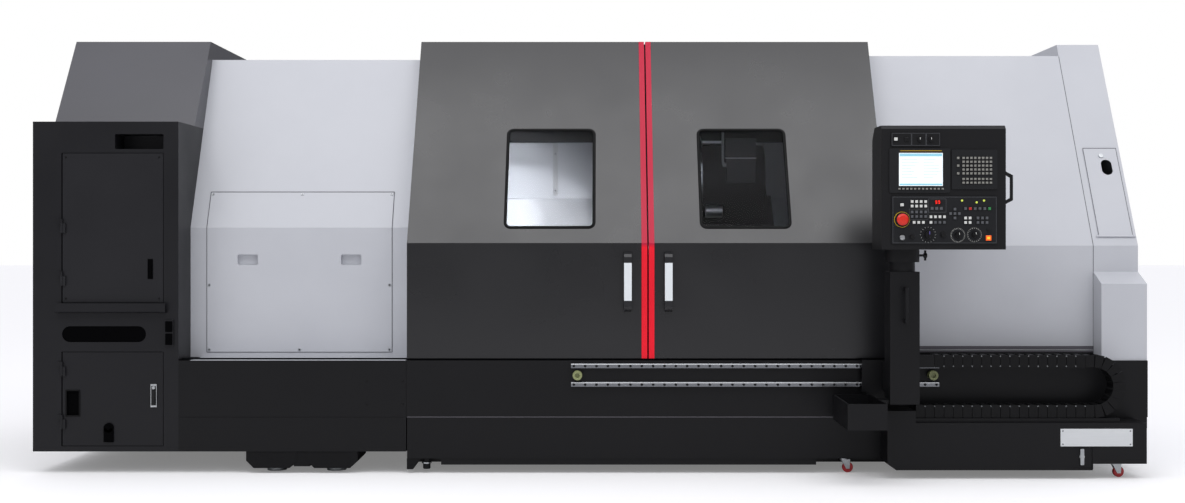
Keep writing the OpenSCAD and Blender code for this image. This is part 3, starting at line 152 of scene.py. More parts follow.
floor_mesh = bpy.data.meshes.new("hall_floor")
floor_mesh.from_pydata([(-60, -60, 0), (60, -60, 0), (60, 60, 0), (-60, 60, 0)], [], [(0, 1, 2, 3)])
hall_floor = new_object("hall_floor", floor_mesh)
floor_paint = bpy.data.materials.new("pale_floor_paint")
floor_paint.use_nodes = True
floor_tree = floor_paint.node_tree
floor_shader = floor_tree.nodes["Principled BSDF"]
set_values(floor_shader, {"Base Color": linear("#F2F2F3"), "Roughness": 0.8, "Emission Color": linear("#FFFFFF")})
floor_path = add_node(floor_tree, "ShaderNodeLightPath")
floor_lift = add_node(floor_tree, "ShaderNodeMath", {"operation": "MULTIPLY"}, {1: 0.2},
                      {0: floor_path.outputs["Is Camera Ray"]})
floor_tree.links.new(floor_lift.outputs[0], floor_shader.inputs["Emission Strength"])
floor_mesh.materials.append(floor_paint)

# %% [markdown]
# ## Finishes
# Nearly all of the machine is steel sheet with a baked powder coat. The eye reads three things
# on it: a broad unevenness of tone, a fine orange-peel skin, and gloss that varies a little.
# The skin's real grain is about 2 mm. At this distance a pixel is 5 mm, so it is drawn at 14 mm.
# One recipe makes the whole family, and each colour of the machine is one call of it.

# %% Powder-coated sheet
def new_finish(name, values):
    finish = bpy.data.materials.new(name)
    finish.use_nodes = True
    tree = finish.node_tree
    shader = tree.nodes["Principled BSDF"]
    set_values(shader, values)
    place = add_node(tree, "ShaderNodeTexCoord").outputs["Object"]
    return finish, tree, shader, place


def add_noise(tree, place, grain_mm, detail):
    values = {"Scale": 1000 / grain_mm, "Detail": detail}
    return add_node(tree, "ShaderNodeTexNoise", values=values, links={"Vector": place})


def add_tone(tree, shader, shade, colour, amount):
    tone = add_node(tree, "ShaderNodeMix", {"data_type": "RGBA"}, {6: shade, 7: colour}, {0: amount})
    tree.links.new(tone.outputs[2], shader.inputs["Base Color"])
    return tone.outputs[2]


def add_sheen(tree, shader, low, high, amount):
    sheen = add_node(tree, "ShaderNodeMapRange", values={1: 0.3, 2: 0.7, 3: low, 4: high}, links={0: amount})
    tree.links.new(sheen.outputs[0], shader.inputs["Roughness"])


def add_bump(tree, shader, strength, depth, height):
    bump = add_node(tree, "ShaderNodeBump", values={"Strength": strength, "Distance": depth},
                    links={"Height": height})
    tree.links.new(bump.outputs[0], shader.inputs["Normal"])


def powder_coat(name, colour, shade, gloss, shine=0.5, cloud_mm=420, skin_mm=14, skin=0.03):
    finish, tree, shader, place = new_finish(name, {"Specular IOR Level": shine})
    cloud = add_noise(tree, place, cloud_mm, 4)
    add_tone(tree, shader, linear(shade), linear(colour), cloud)
    add_sheen(tree, shader, gloss - 0.05, gloss + 0.05, cloud)
    add_bump(tree, shader, skin, 0.002, add_noise(tree, place, skin_mm, 2))
    return finish


black_coat = powder_coat("powder_coat_black", "#141416", "#0E0E10", 0.4, shine=0.22)
upper_door_coat = powder_coat("powder_coat_upper_door", "#222225", "#1C1C1F", 0.42, shine=0.26)
charcoal_coat = powder_coat("powder_coat_charcoal", "#1B1B1E", "#151518", 0.42, shine=0.26)
door_coat = powder_coat("powder_coat_door", "#101013", "#0B0B0E", 0.3, shine=0.64)
grey_coat = powder_coat("powder_coat_light_grey", "#C7C9CE", "#BABCC2", 0.42, shine=0.4)
hood_coat = powder_coat("powder_coat_hood", "#45454B", "#3C3C41", 0.36, shine=0.6)
red_coat = powder_coat("powder_coat_red", "#F8122C", "#EC0F29", 0.46, shine=0.3)
machine_enamel = powder_coat("machine_enamel", "#2B2D30", "#232528", 0.5, shine=0.3)
turret_paint = powder_coat("turret_paint", "#4A4C50", "#404246", 0.45, shine=0.4)
sill_grey = powder_coat("powder_coat_sill", "#626066", "#56545A", 0.42)
# The castings and feet are black; the colour is a little darker than the covers' black, partly painted shade for
# the feet under the base skirt.
casting_enamel = powder_coat("casting_enamel", "#0F0F11", "#0A0A0C", 0.6, shine=0.2, cloud_mm=120,
                             skin_mm=10, skin=0.2)
liner_coat = powder_coat("splash_liner_coat", "#D3D6DA", "#C2C6CB", 0.33, cloud_mm=260, skin=0.008)

# The red strips are one paint; above the fold the red is painted darker and pinker, standing in for how the
# overhead light falls on the leaning part.
FOLD_Z = 1.21
red_tree = red_coat.node_tree
red_place = add_node(red_tree, "ShaderNodeTexCoord").outputs["Object"]
red_height = add_node(red_tree, "ShaderNodeSeparateXYZ", links={0: red_place}).outputs["Z"]
above = add_node(red_tree, "ShaderNodeMapRange", values={1: FOLD_Z - 0.01, 2: FOLD_Z + 0.01}, links={0: red_height})
red_base = red_tree.nodes["Principled BSDF"].inputs["Base Color"]
slope_light_red = add_node(red_tree, "ShaderNodeMix", {"data_type": "RGBA"}, {7: linear("#BC1539")},
                 {0: above, 6: red_base.links[0].from_socket})
red_tree.links.new(slope_light_red.outputs[2], red_base)
print("powder coats:", len([m for m in bpy.data.materials if m.name.startswith("powder")]))

# %% [markdown]
# ## Metals
# Ground ways and rails show fine lines along the stroke of the wheel, cast iron shows a grainy
# skin, and zinc plating shows soft patches. Stretching a noise along one axis gives the lines.

# %% Ground steel, brushed stainless, zinc and cast iron
def ground_metal(name, colour, shade, gloss, stretch, line_mm):
    finish, tree, shader, place = new_finish(name, {"Metallic": 1.0})
    along = add_node(tree, "ShaderNodeMapping", values={"Scale": stretch}, links={"Vector": place})
    streaks = add_noise(tree, along, line_mm, 3)
    add_tone(tree, shader, linear(shade), linear(colour), streaks)
    add_sheen(tree, shader, gloss - 0.06, gloss + 0.08, streaks)
    return finish


# Painted shade: the rails are the same ground steel as the quill, set darker to stand in for the darker
# surroundings they reflect.
rail_steel_painted_shade = ground_metal("rail_steel_painted_shade", "#8C8E92", "#6C6E72", 0.22, (0.04, 1, 1), 3)
ground_steel = ground_metal("ground_steel", "#C6C8CB", "#A2A5A9", 0.24, (0.04, 1, 1), 3)
turned_steel = ground_metal("turned_steel", "#B9BCBF", "#94989C", 0.28, (1, 0.15, 0.15), 4)
brushed_stainless = ground_metal("brushed_stainless", "#D0D2D3", "#B2B5B7", 0.34, (0.05, 1, 1), 4)
zinc_plate = ground_metal("zinc_plate", "#C3C6C8", "#A2A5A8", 0.36, (1, 1, 1), 22)
black_zinc = ground_metal("black_zinc_plate", "#2A2B2E", "#1D1E21", 0.5, (1, 1, 1), 22)
cover_steel = ground_metal("way_cover_steel", "#E2E4E6", "#CDD0D3", 0.46, (0.05, 1, 1), 5)
plate_aluminium = ground_metal("plate_aluminium", "#F0F2F3", "#E0E3E5", 0.5, (0.05, 1, 1), 5)
print("metals:", ground_steel.name, turned_steel.name, zinc_plate.name)

# %% [markdown]
# ## Plastics, rubber, glass and lit surfaces
# The pendant is moulded ABS and membrane, the handles are glossy nylon on black brackets,
# the chain is glass-filled nylon, and the panes are clear polycarbonate.
# A moulded surface has a fine spark-eroded grain, which a small noise bump gives.

# %% Moulded plastics and rubber
def moulded(name, colour, shade, gloss, grain_mm=6, grain=0.1, shine=0.5):
    finish, tree, shader, place = new_finish(name, {"Specular IOR Level": shine, "Roughness": gloss})
    speck = add_noise(tree, place, grain_mm, 2)
    add_tone(tree, shader, linear(shade), linear(colour), speck)
    add_bump(tree, shader, grain, 0.0006, speck)
    return finish


pendant_abs = moulded("pendant_abs", "#131315", "#0E0E10", 0.5, shine=0.25)
bezel_abs = moulded("bezel_abs", "#1D1E20", "#17181A", 0.45, shine=0.25)
membrane = moulded("operator_membrane", "#1C1D20", "#161719", 0.42, shine=0.25)
chain_nylon = moulded("chain_nylon", "#0E0E10", "#09090A", 0.5, grain_mm=9, shine=0.2)
black_rubber = moulded("black_rubber", "#0C0C0D", "#070708", 0.6, shine=0.15)
knob_black = moulded("knob_black", "#0F0F11", "#0A0A0B", 0.4, shine=0.3)
# pit_black is a dull near-black; lining the pull's cup, the oval slot and the ledge it is painted shade.
pit_black = moulded("pit_black", "#040405", "#020203", 0.7, shine=0.03)
key_cream = moulded("key_cream", "#D9DAD6", "#CBCCC8", 0.4)
key_grey = moulded("key_grey", "#8B8A84", "#7A7973", 0.42)
key_dim = moulded("key_dim", "#56585C", "#494B4F", 0.42)
key_red = moulded("key_red", "#C92A22", "#B4221B", 0.36)
key_green = moulded("key_green", "#2F8F4B", "#277D40", 0.36)
pointer_violet = moulded("pointer_violet", "#6C63B4", "#5D549F", 0.35)
stop_red = moulded("stop_red", "#DE2A17", "#C92311", 0.3)
seal_grey = moulded("seal_grey", "#5F6065", "#535459", 0.6, shine=0.2)
ring_yellow = moulded("ring_yellow", "#E8C21E", "#D6B118", 0.4)
bumper_urethane = moulded("bumper_urethane", "#8F9566", "#7D8358", 0.45)
wheel_urethane = moulded("wheel_urethane", "#B5262B", "#A01F24", 0.4)
print("plastics:", pendant_abs.name, chain_nylon.name, bumper_urethane.name)

# %% Clear panes, handle nylon and lit surfaces
clear = {"Transmission Weight": 1.0, "IOR": 1.1, "Roughness": 0.02}
pane_clear, pane_tree, pane_shader, pane_place = new_finish("pane_polycarbonate", clear)
smear = add_noise(pane_tree, pane_place, 180, 3)
add_tone(pane_tree, pane_shader, linear("#DDDEE4"), linear("#E8E9EE"), smear)

GRIP_LOW, GRIP_HIGH = 0.919, 1.119
handle_nylon, handle_tree, handle_shader, handle_place = new_finish("handle_nylon", {"Roughness": 0.3})
handle_z = add_node(handle_tree, "ShaderNodeSeparateXYZ", links={0: handle_place}).outputs["Z"]
above = add_node(handle_tree, "ShaderNodeMath", {"operation": "GREATER_THAN"}, {1: GRIP_LOW}, {0: handle_z})
below = add_node(handle_tree, "ShaderNodeMath", {"operation": "LESS_THAN"}, {1: GRIP_HIGH}, {0: handle_z})
grip_part = add_node(handle_tree, "ShaderNodeMath", {"operation": "MULTIPLY"}, links={0: above, 1: below})
add_tone(handle_tree, handle_shader, linear("#17171A"), linear("#E4E9EC"), grip_part)


def lit_face(name, colour, strength):
    finish, tree, shader, place = new_finish(name, {"Emission Strength": strength, "Roughness": 0.2})
    shade = [v * 0.86 for v in linear(colour)[:3]] + [1.0]
    tone = add_tone(tree, shader, shade, linear(colour), add_noise(tree, place, 30, 2))
    tree.links.new(tone, shader.inputs["Emission Color"])
    return finish


screen_white = lit_face("screen_white", "#E8F0F3", 0.5)
screen_cyan = lit_face("screen_cyan", "#93CFE2", 0.25)
screen_line = lit_face("screen_line", "#D3DEE4", 0.35)
digit_red = lit_face("digit_red", "#FF2A1A", 1.2)
lamp_amber = lit_face("lamp_amber", "#FFB02A", 0.8)
lamp_orange = lit_face("lamp_orange", "#F4601C", 0.6)
# Painted light: the gold stripe above the screen is no lamp, yet it is given a faint glow.
stripe_gold = lit_face("stripe_gold", "#9C7C16", 0.1)
lamp_lime = lit_face("lamp_lime", "#BCC94E", 0.5)
lamp_white = lit_face("lamp_white", "#F4F6F2", 1.0)
print("panes and lit faces:", pane_clear.name, screen_white.name)

# %% [markdown]
# ## Dressing the CAD solids
# A solid keeps its shape from the drawing and takes a finish here. The table below pairs
# each solid with what it is made of on the real machine.

# %% Give each solid its finish
finish_of = {
    black_coat: ["base_cover_left", "base_cover_centre", "chain_trough", "coolant_tank", "pendant_column",
                 "tool_tray"],
    charcoal_coat: ["utility_cabinet", "lower_cabinet_door"],
    upper_door_coat: ["upper_cabinet_door"],
    door_coat: ["left_door", "right_door"],
    grey_coat: ["headstock_cover", "access_panel", "tailstock_cover", "end_cover", "service_lid",
                "rear_enclosure"],
    hood_coat: ["cabinet_hood"],
    red_coat: ["left_strip", "right_strip"],
    machine_enamel: ["hydraulic_unit", "headstock", "saddle", "tailstock", "cross_slide"],
    liner_coat: ["splash_guard"],
    casting_enamel: ["bed_casting"],
    ground_steel: ["quill"],
    rail_steel_painted_shade: ["guide_rails"],
    turned_steel: ["spindle", "chuck", "jaw_1", "jaw_2", "jaw_3", "turret_disc"],
    cover_steel: ["saddle_covers", "middle_covers"],
    zinc_plate: ["levelling_feet", "caster_fork_left", "caster_fork_right"],
    black_zinc: ["door_track"],
    pane_clear: ["left_window", "right_window"],
    handle_nylon: ["left_handle", "right_handle"],
    pendant_abs: ["pendant_box"],
    bezel_abs: ["display_unit", "keypad_unit"],
    membrane: ["operator_panel"],
    stop_red: ["estop_button"],
    knob_black: ["mode_dial", "feed_dial", "spindle_dial", "swivel_knob"],
    bumper_urethane: ["rail_bumpers"],
    wheel_urethane: ["caster_wheel_left", "caster_wheel_right"],
    chain_nylon: ["chain_lower", "chain_upper", "chain_bend"],
}
for finish, names in finish_of.items():
    for name in names:
        nodes[name].data.materials.clear()
        nodes[name].data.materials.append(finish)
print("without a finish:", sorted(set(nodes) - {n for names in finish_of.values() for n in names}))

# %% [markdown]
# ## Mesh helpers
# Small turned or folded pieces are made from boxes with softened edges and from turned rods.
# The first two helpers add to a bmesh, so that one piece can be put together from several shapes.
# box_piece and rod_piece make a whole piece from a list of boxes or rods.

# %% Boxes, rods and finished pieces
def soft_box(shape, low, high, soft):
    low, high = Vector(low), Vector(high)
    place = Matrix.Translation((low + high) / 2) @ Matrix.Diagonal((*(high - low), 1))
    made = bmesh.ops.create_cube(shape, size=1, matrix=place)
    edges = list({e for v in made["verts"] for e in v.link_edges})
    bmesh.ops.bevel(shape, geom=edges, offset=soft, segments=2, profile=0.5, affect="EDGES")


def turned(shape, place, profile, sides, hollow=False):
    rings = []
    angles = [2 * math.pi * i / sides for i in range(sides)]
    for radius, height in profile:
        ring = [Vector((radius * math.cos(a), radius * math.sin(a), height)) for a in angles]
        rings.append([shape.verts.new(place @ point) for point in ring])
    if hollow:
        rings.append(rings[0])
    for lower, upper in zip(rings, rings[1:]):
        for i in range(sides):
            j = (i + 1) % sides
            shape.faces.new((lower[i], lower[j], upper[j], upper[i]))
    if not hollow:
        shape.faces.new(list(reversed(rings[0])))
        shape.faces.new(rings[-1])


def add_piece(name, shape, finish, body, place=None):
    bmesh.ops.recalc_face_normals(shape, faces=shape.faces)
    mesh = bpy.data.meshes.new(name)
    shape.to_mesh(mesh)
    shape.free()
    return settle(name, mesh, finish, body, place)


def settle(name, mesh, finish, body, place=None):
    if place is not None:
        mesh.transform(place)
    if finish is not None:
        mesh.materials.clear()
        mesh.materials.append(finish)
    piece = new_object(name, mesh)
    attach(piece, body)
    return piece


def box_piece(name, boxes, soft, finish, body, place=None, rods=()):
    shape = bmesh.new()
    for low, high, *own_soft in boxes:
        soft_box(shape, low, high, *(own_soft or [soft]))
    for at, profile, sides in rods:
        turned(shape, at, profile, sides)
    return add_piece(name, shape, finish, body, place)


def rod_piece(name, rods, finish, body, hollow=False):
    shape = bmesh.new()
    for place, profile, sides in rods:
        turned(shape, place, profile, sides, hollow)
    return add_piece(name, shape, finish, body)


def facing_front(x, y, z):
    return Matrix.Translation((x, y, z)) @ Matrix.Rotation(math.radians(90), 4, "X")


def facing_side(x, y, z):
    return Matrix.Translation((x, y, z)) @ Matrix.Rotation(math.radians(90), 4, "Y")


def on_slope(x, y, z, lean):
    return Matrix.Translation((x, y, z)) @ Matrix.Rotation(math.radians(90 - lean), 4, "X")


# Each leaning sheet starts at a fold, some way behind the front of the machine.
DOOR_LEAN = math.degrees(math.atan(600 / 1156))
HEAD_LEAN = math.degrees(math.atan(430 / 972))
DOOR_SETBACK, DOOR_FOLD = 0.02, 1.224
END_SETBACK, END_FOLD = 0.135, 1.21
HEAD_SETBACK, HEAD_FOLD = 0.22, 1.308


def on_door(x):
    return on_slope(x, FRONT + DOOR_SETBACK, DOOR_FOLD, DOOR_LEAN)


def on_end(x):
    return on_slope(x, FRONT + END_SETBACK, END_FOLD, DOOR_LEAN)


print("door lean", round(DOOR_LEAN, 2), "headstock cover lean", round(HEAD_LEAN, 2))

# %% [markdown]
# ## Geometry Nodes for what repeats
# Screws, keycaps, tick marks and chain links are one small shape set down many times.
# A node tree holds the shape once and puts it on each point of a seed mesh.
# The tree's sizes are named inputs, set through each socket's identifier.

# %% Trees and how they are grown
def new_tree(title, **inputs):
    tree = bpy.data.node_groups.new(title, "GeometryNodeTree")
    tree.interface.new_socket("Geometry", in_out="INPUT", socket_type="NodeSocketGeometry")
    for kind, names in inputs.items():
        for name in names:
            tree.interface.new_socket(name, in_out="INPUT", socket_type="NodeSocket" + kind)
    tree.interface.new_socket("Geometry", in_out="OUTPUT", socket_type="NodeSocketGeometry")
    return tree, add_node(tree, "NodeGroupInput").outputs


def grow(title, tree, points, edges=(), **sizes):
    seed_mesh = bpy.data.meshes.new(title)
    seed_mesh.from_pydata([tuple(p) for p in points], list(edges), [])
    seed = new_object(title, seed_mesh)
    modifier = seed.modifiers.new("grow", "NODES")
    modifier.node_group = tree
    for socket in tree.interface.items_tree:
        if socket.in_out == "INPUT" and socket.name in sizes:
            modifier[socket.identifier] = sizes[socket.name]
    graph = bpy.context.evaluated_depsgraph_get()
    mesh = bpy.data.meshes.new_from_object(seed.evaluated_get(graph), depsgraph=graph)
    seed.modifiers.remove(modifier)
    bpy.data.objects.remove(seed)
    return mesh


def painted(tree, source, paint):
    real = add_node(tree, "GeometryNodeRealizeInstances", links={0: source})
    coloured = add_node(tree, "GeometryNodeSetMaterial", links={"Geometry": real, "Material": paint})
    return coloured.outputs[0]


# %% Screw tree: a button head with a hexagon socket on each point
screw_tree, given = new_tree("screws", Float=["Radius", "Height"], Vector=["Facing"], Material=["Head", "Socket"])
inner, hexagon = (add_node(screw_tree, "ShaderNodeMath", {"operation": "MULTIPLY"}, {1: part}, {0: given["Radius"]})
                  for part in (0.72, 0.45))
head = add_node(screw_tree, "GeometryNodeMeshCone", values={"Vertices": 20},
                links={"Radius Top": inner, "Radius Bottom": given["Radius"], "Depth": given["Height"]})
socket = add_node(screw_tree, "GeometryNodeMeshCylinder", values={"Vertices": 6, "Depth": 0.0004},
                  links={"Radius": hexagon})
lift = add_node(screw_tree, "ShaderNodeCombineXYZ", links={"Z": given["Height"]})
lifted = add_node(screw_tree, "GeometryNodeTransform", links={"Geometry": socket, "Translation": lift})
joined = add_node(screw_tree, "GeometryNodeJoinGeometry")
for form, paint in ((head, "Head"), (lifted, "Socket")):
    spread = add_node(screw_tree, "GeometryNodeInstanceOnPoints",
                      links={"Points": given["Geometry"], "Instance": form, "Rotation": given["Facing"]})
    screw_tree.links.new(painted(screw_tree, spread, given[paint]), joined.inputs[0])
add_node(screw_tree, "NodeGroupOutput", links={0: joined})


def screws(title, points, body, radius, height, facing, finish=None):
    mesh = grow(title, screw_tree, points, Radius=radius, Height=height, Facing=facing, Head=finish or zinc_plate,
                Socket=black_rubber)
    return settle(title, mesh, None, body)


TO_FRONT = (math.radians(90), 0, 0)
TO_BACK = (math.radians(-90), 0, 0)
print("screw tree nodes:", len(screw_tree.nodes))

# %% [markdown]
# ## Screws of the covers and rails
# The access panel over the headstock is held by a row of screws near its edge, three of them
# on the leaning part. The guide rails are bolted down through every counterbore.

# %% Screws of the access panel, rails and rear panels
PANEL_TOP = 1.503
RAILS_Z = (0.475, 0.573)
panel_face = FRONT + HEAD_SETBACK - 0.003
panel_left, panel_right = -2.187 + 0.091, -0.977 - 0.11
EDGE = 0.012
across = [panel_left + EDGE, (panel_left + panel_right) / 2, panel_right - EDGE]
upright = [(x, panel_face, 0.629 + EDGE) for x in across]
upright += [(x, panel_face, 0.994) for x in (across[0], across[2])]
screws("access_panel_screws", upright, "machine", 0.0085, 0.004, TO_FRONT)
lean = math.radians(HEAD_LEAN)
slope_run = (PANEL_TOP - HEAD_FOLD) / math.cos(lean)
top_run = slope_run - EDGE
top_row = [(x, panel_face + top_run * math.sin(lean), HEAD_FOLD + top_run * math.cos(lean)) for x in across]
screws("access_panel_top_screws", top_row, "machine", 0.0085, 0.004, (math.radians(90) - lean, 0, 0))
seal_x = (panel_left - 0.0035, panel_right + 0.0005)
near, far = panel_face + 0.0008, panel_face + 0.0036
seals = [((x, near, 0.626), (x + 0.003, far, HEAD_FOLD)) for x in seal_x]
seals.append(((panel_left, near, 0.6255), (panel_right, far, 0.6285)))
box_piece("panel_seal", seals, 0.0003, seal_grey, "machine")
seals = [((x, 0.0, 0.0002), (x + 0.003, slope_run + 0.003, 0.0026)) for x in seal_x]
seals.append(((panel_left, slope_run + 0.0008, 0.0002), (panel_right, slope_run + 0.0038, 0.0026)))
box_piece("panel_top_seal", seals, 0.0003, seal_grey, "machine",
          on_slope(0, FRONT + HEAD_SETBACK, HEAD_FOLD, HEAD_LEAN))
rail_holes = [(-0.102 + 0.06 * (i + 0.25), FRONT - 0.022 + 0.009, z) for i in range(33) for z in RAILS_Z]
screws("rail_screws", rail_holes, "machine", 0.0066, 0.006, TO_FRONT, finish=knob_black)
rear_points = [(x, 1.29, z) for x in (-2.16, -1.6, -1.01, -0.94, 0.3, 1.55, 1.63, 2.15, 2.69)
               for z in (0.16, 0.8, 1.45, 2.2)]
screws("rear_panel_screws", rear_points, "machine", 0.009, 0.004, TO_BACK)
skirt_points = [(x, FRONT, z) for x in (-1.18585, -0.996814) for z in (0.49129, 0.36916)]
screws("skirt_screws", skirt_points, "machine", 0.007, 0.003, TO_FRONT, finish=knob_black)
print("screws set:", len(upright) + len(top_row) + len(rail_holes) + len(rear_points))

# %% [markdown]
# ## Window gaskets
# Each pane sits in a black rubber gasket that laps over the cut edge of the door sheet.
# The gasket follows a rounded rectangle, so a curve swept with a small round profile makes it.

# %% Gasket tree and the two gaskets
gasket_tree, given = new_tree("gasket", Float=["Width", "Height", "Corner", "Bead"], Material=["Rubber"])
outline = add_node(gasket_tree, "GeometryNodeCurvePrimitiveQuadrilateral",
                   links={"Width": given["Width"], "Height": given["Height"]})
rounded = add_node(gasket_tree, "GeometryNodeFilletCurve", {"mode": "POLY"}, {"Count": 10},
                   {"Curve": outline, "Radius": given["Corner"]})
bead = add_node(gasket_tree, "GeometryNodeCurvePrimitiveCircle", values={"Resolution": 12},
                links={"Radius": given["Bead"]})
swept = add_node(gasket_tree, "GeometryNodeCurveToMesh", links={"Curve": rounded, "Profile Curve": bead})
add_node(gasket_tree, "NodeGroupOutput", links={0: painted(gasket_tree, swept, given["Rubber"])})

for side, x, body in (("left", 0.307 - 0.526, "left_door"), ("right", 0.307 + 0.526, "right_door")):
    ring = grow(side + "_gasket", gasket_tree, [], Width=0.476, Height=0.612, Corner=0.03, Bead=0.0085,
                Rubber=black_rubber)
    flat = Matrix.Translation((0, 0.4, 0.001)) @ Matrix.Diagonal((1, 1, 0.55, 1))
    gasket = settle(side + "_gasket", ring, black_rubber, body, on_door(x) @ flat)
    print(gasket.name, "faces", len(gasket.data.polygons))

# %% [markdown]
# ## The seal between the doors
# The two doors meet with a narrow gap. A rubber lip on the left door closes it, and it has to stop short
# of the right door so that nothing rubs when they part.

# %% Rubber lip on the left door
lip_left, lip_right = 0.3028, 0.3096
box_piece("door_lip_lower", [((lip_left, FRONT + 0.034, 0.622), (lip_right, FRONT + 0.064, 1.236))], 0.0015,
          black_rubber, "left_door")
box_piece("door_lip_upper", [((lip_left, 0.004, -0.042), (lip_right, 1.296, -0.014))], 0.0015,
          black_rubber, "left_door", on_door(0))
print("door lip set")

# %% [markdown]
# ## Fittings of the utility cabinet
# The upper door has a flush slot latch, the lower one a bright swing latch, a recessed pull and a lock.
# They are folded and turned pieces of a few millimetres, seated on the door sheet.

# %% Latches, pull, lock and rockers
def front_box(x, z, width, height, front, back, *soft):
    return ((x - width / 2, FRONT - front, z - height / 2), (x + width / 2, FRONT - back, z + height / 2), *soft)


SOFT = 0.0015
LATCH_X, LATCH_Z, PULL_X, PULL_Z, LOCK_X = -2.317, 0.414, -2.747, 0.374, -2.556
boxes = [front_box(-2.336, 1.086, 0.028, 0.106, 0.004, 0.0),
         front_box(-2.336, 1.078, 0.014, 0.059, 0.0075, 0.003, 0.002)]
box_piece("slot_latch", boxes, SOFT, pit_black, "upper_cabinet_door")
boxes = [front_box(LATCH_X, LATCH_Z, 0.032, 0.12, 0.005, 0.0),
         front_box(LATCH_X, 0.404, 0.017, 0.075, 0.0132, 0.004, 0.003)]
box_piece("swing_latch_lever", boxes, SOFT, knob_black, "lower_cabinet_door")
boxes = [front_box(LATCH_X + dx, LATCH_Z, 0.004, 0.112, 0.0062, 0.004) for dx in (-0.0145, 0.0145)]
boxes += [front_box(LATCH_X, LATCH_Z + dz, 0.033, 0.01, 0.0066, 0.004) for dz in (-0.0565, 0.0565)]
barrel = (facing_front(LATCH_X, FRONT - 0.004, 0.456), [(0.0088, 0), (0.0088, 0.004), (0.0082, 0.0055)], 24)
box_piece("swing_latch", boxes, SOFT, brushed_stainless, "lower_cabinet_door", rods=[barrel])

boxes = [front_box(PULL_X + dx, PULL_Z, 0.007, 0.128, 0.004, 0.0) for dx in (-0.0355, 0.0355)]
boxes += [front_box(PULL_X, PULL_Z + dz, 0.078, 0.007, 0.004, 0.0) for dz in (-0.0675, 0.0675)]
box_piece("recessed_pull", boxes, SOFT, black_rubber, "lower_cabinet_door")
# Painted shade: the cup's floor is near-black, darker than its charcoal sheet, standing in for the shade in the
# recess.
cup = front_box(PULL_X, PULL_Z, 0.068, 0.132, -0.0075, -0.0095)
box_piece("pull_cup_floor", [cup], 0.0005, pit_black, "lower_cabinet_door")
rods = [(facing_front(LOCK_X, FRONT, 0.243), [(0.026, 0), (0.026, 0.0085), (0.0245, 0.01)], 32),
        (facing_front(LOCK_X, FRONT - 0.009, 0.243), [(0.01, 0), (0.01, 0.004), (0.007, 0.005)], 24)]
box_piece("door_lock", [front_box(LOCK_X, 0.205, 0.052, 0.076, 0.01, 0.0)], 0.002, pit_black,
          "lower_cabinet_door", rods=rods)

boxes = [((-2.254, FRONT - 0.015, 0.752), (-2.216, FRONT - 0.008, 0.809)),
         ((-2.254, FRONT - 0.014, 0.683), (-2.216, FRONT - 0.008, 0.744))]
box_piece("switch_rockers", boxes, 0.003, pit_black, "machine")
slot_left, slot_right = -2.582 - 0.1805, -2.582 + 0.1805
slot_end = [(0.042, 0), (0.042, 0.0009), (0.0415, 0.0012)]
# Painted shade: a dull near-black sheet just inside the oval slot stands in for the shade within it.
boxes = [((slot_left, FRONT + 0.0022, 0.698), (slot_right, FRONT + 0.0033, 0.782))]
rods = [(facing_front(x, FRONT + 0.0033, 0.74), slot_end, 40) for x in (slot_left, slot_right)]
box_piece("slot_painted_shade", boxes, 0.0004, pit_black, "machine", rods=rods)
corner_points = [(x, FRONT, z) for x in (-2.785, -2.29) for z in (0.93, 1.68)]
screws("upper_door_screws", corner_points, "upper_cabinet_door", 0.006, 0.003, TO_FRONT, finish=knob_black)
print("cabinet fittings: latch, swing latch, pull, lock, rockers")

# %% [markdown]
# ## Plates, seams and feet of the base
# The coolant trough carries a bare brushed plate held by four rivets, and a ribbed drain plug with a lever.
# Where two sheets meet, a thin strip or bead shows. Most of these are one box, given by its
# two ends along x, along y from the front of the machine, and along z.

# %% Bare plate and drain
def front_piece(name, x, y, z, soft, finish):
    low, high = ((x[i], FRONT + y[i], z[i]) for i in (0, 1))
    box_piece(name, [(low, high)], soft, finish, "machine")


front_piece("bare_plate", (2.437, 2.811), (-0.1822, -0.18), (0.171, 0.262), 0.0008, plate_aluminium)
rivet_points = [(x, FRONT - 0.1822, z) for x in (2.449, 2.799) for z in (0.182, 0.251)]
screws("plate_rivets", rivet_points, "machine", 0.005, 0.0025, TO_FRONT)
ribs = [(0.0128 - 0.002 * (i % 2), 0.0022 * i) for i in range(9)]
rod_piece("drain_plug", [(facing_front(2.549, FRONT - 0.166, 0.117), ribs, 24)],
          brushed_stainless, "machine")
front_piece("drain_back", (2.488, 2.6085), (-0.1757, -0.1745), (0.052, 0.17), 0.0003, black_coat)
front_piece("drain_lever", (2.5385, 2.5595), (-0.186, -0.178), (0.074, 0.158), 0.003, zinc_plate)
print("plate and drain set")

# %% Strips and seams
front_piece("sill_strip", (1.6, 2.716), (0.129, 0.1308), (0.634, 0.666), 0.0004, sill_grey)
# Painted highlight: a thin bright stainless line along the sill stands in for the light caught by its edge.
front_piece("sill_painted_highlight", (1.6, 2.716), (0.127, 0.1292), (0.643, 0.648), 0.0008, brushed_stainless)
front_piece("end_seam", (2.7165, 2.7195), (0.1338, 0.1352), (0.668, END_FOLD), 0.0004, seal_grey)
front_piece("end_base_strip", (2.612, 2.957), (0.001, 0.004), (0.24, 0.3005), 0.0004, black_coat)
front_piece("sump_skirt", (-0.793, 1.2), (0.006, 0.01), (0.046, 0.0798), 0.0006, black_coat)
front_piece("base_seam_bead", (-0.974, 1.35), (-0.0012, 0.0002), (0.2985, 0.3018), 0.0005, sill_grey)
box_piece("end_seam_top", [((2.7165, 0.0, -0.0006), (2.7195, 1.236, 0.001))], 0.0004, seal_grey, "machine",
          on_end(0))
print("strips and seams set")

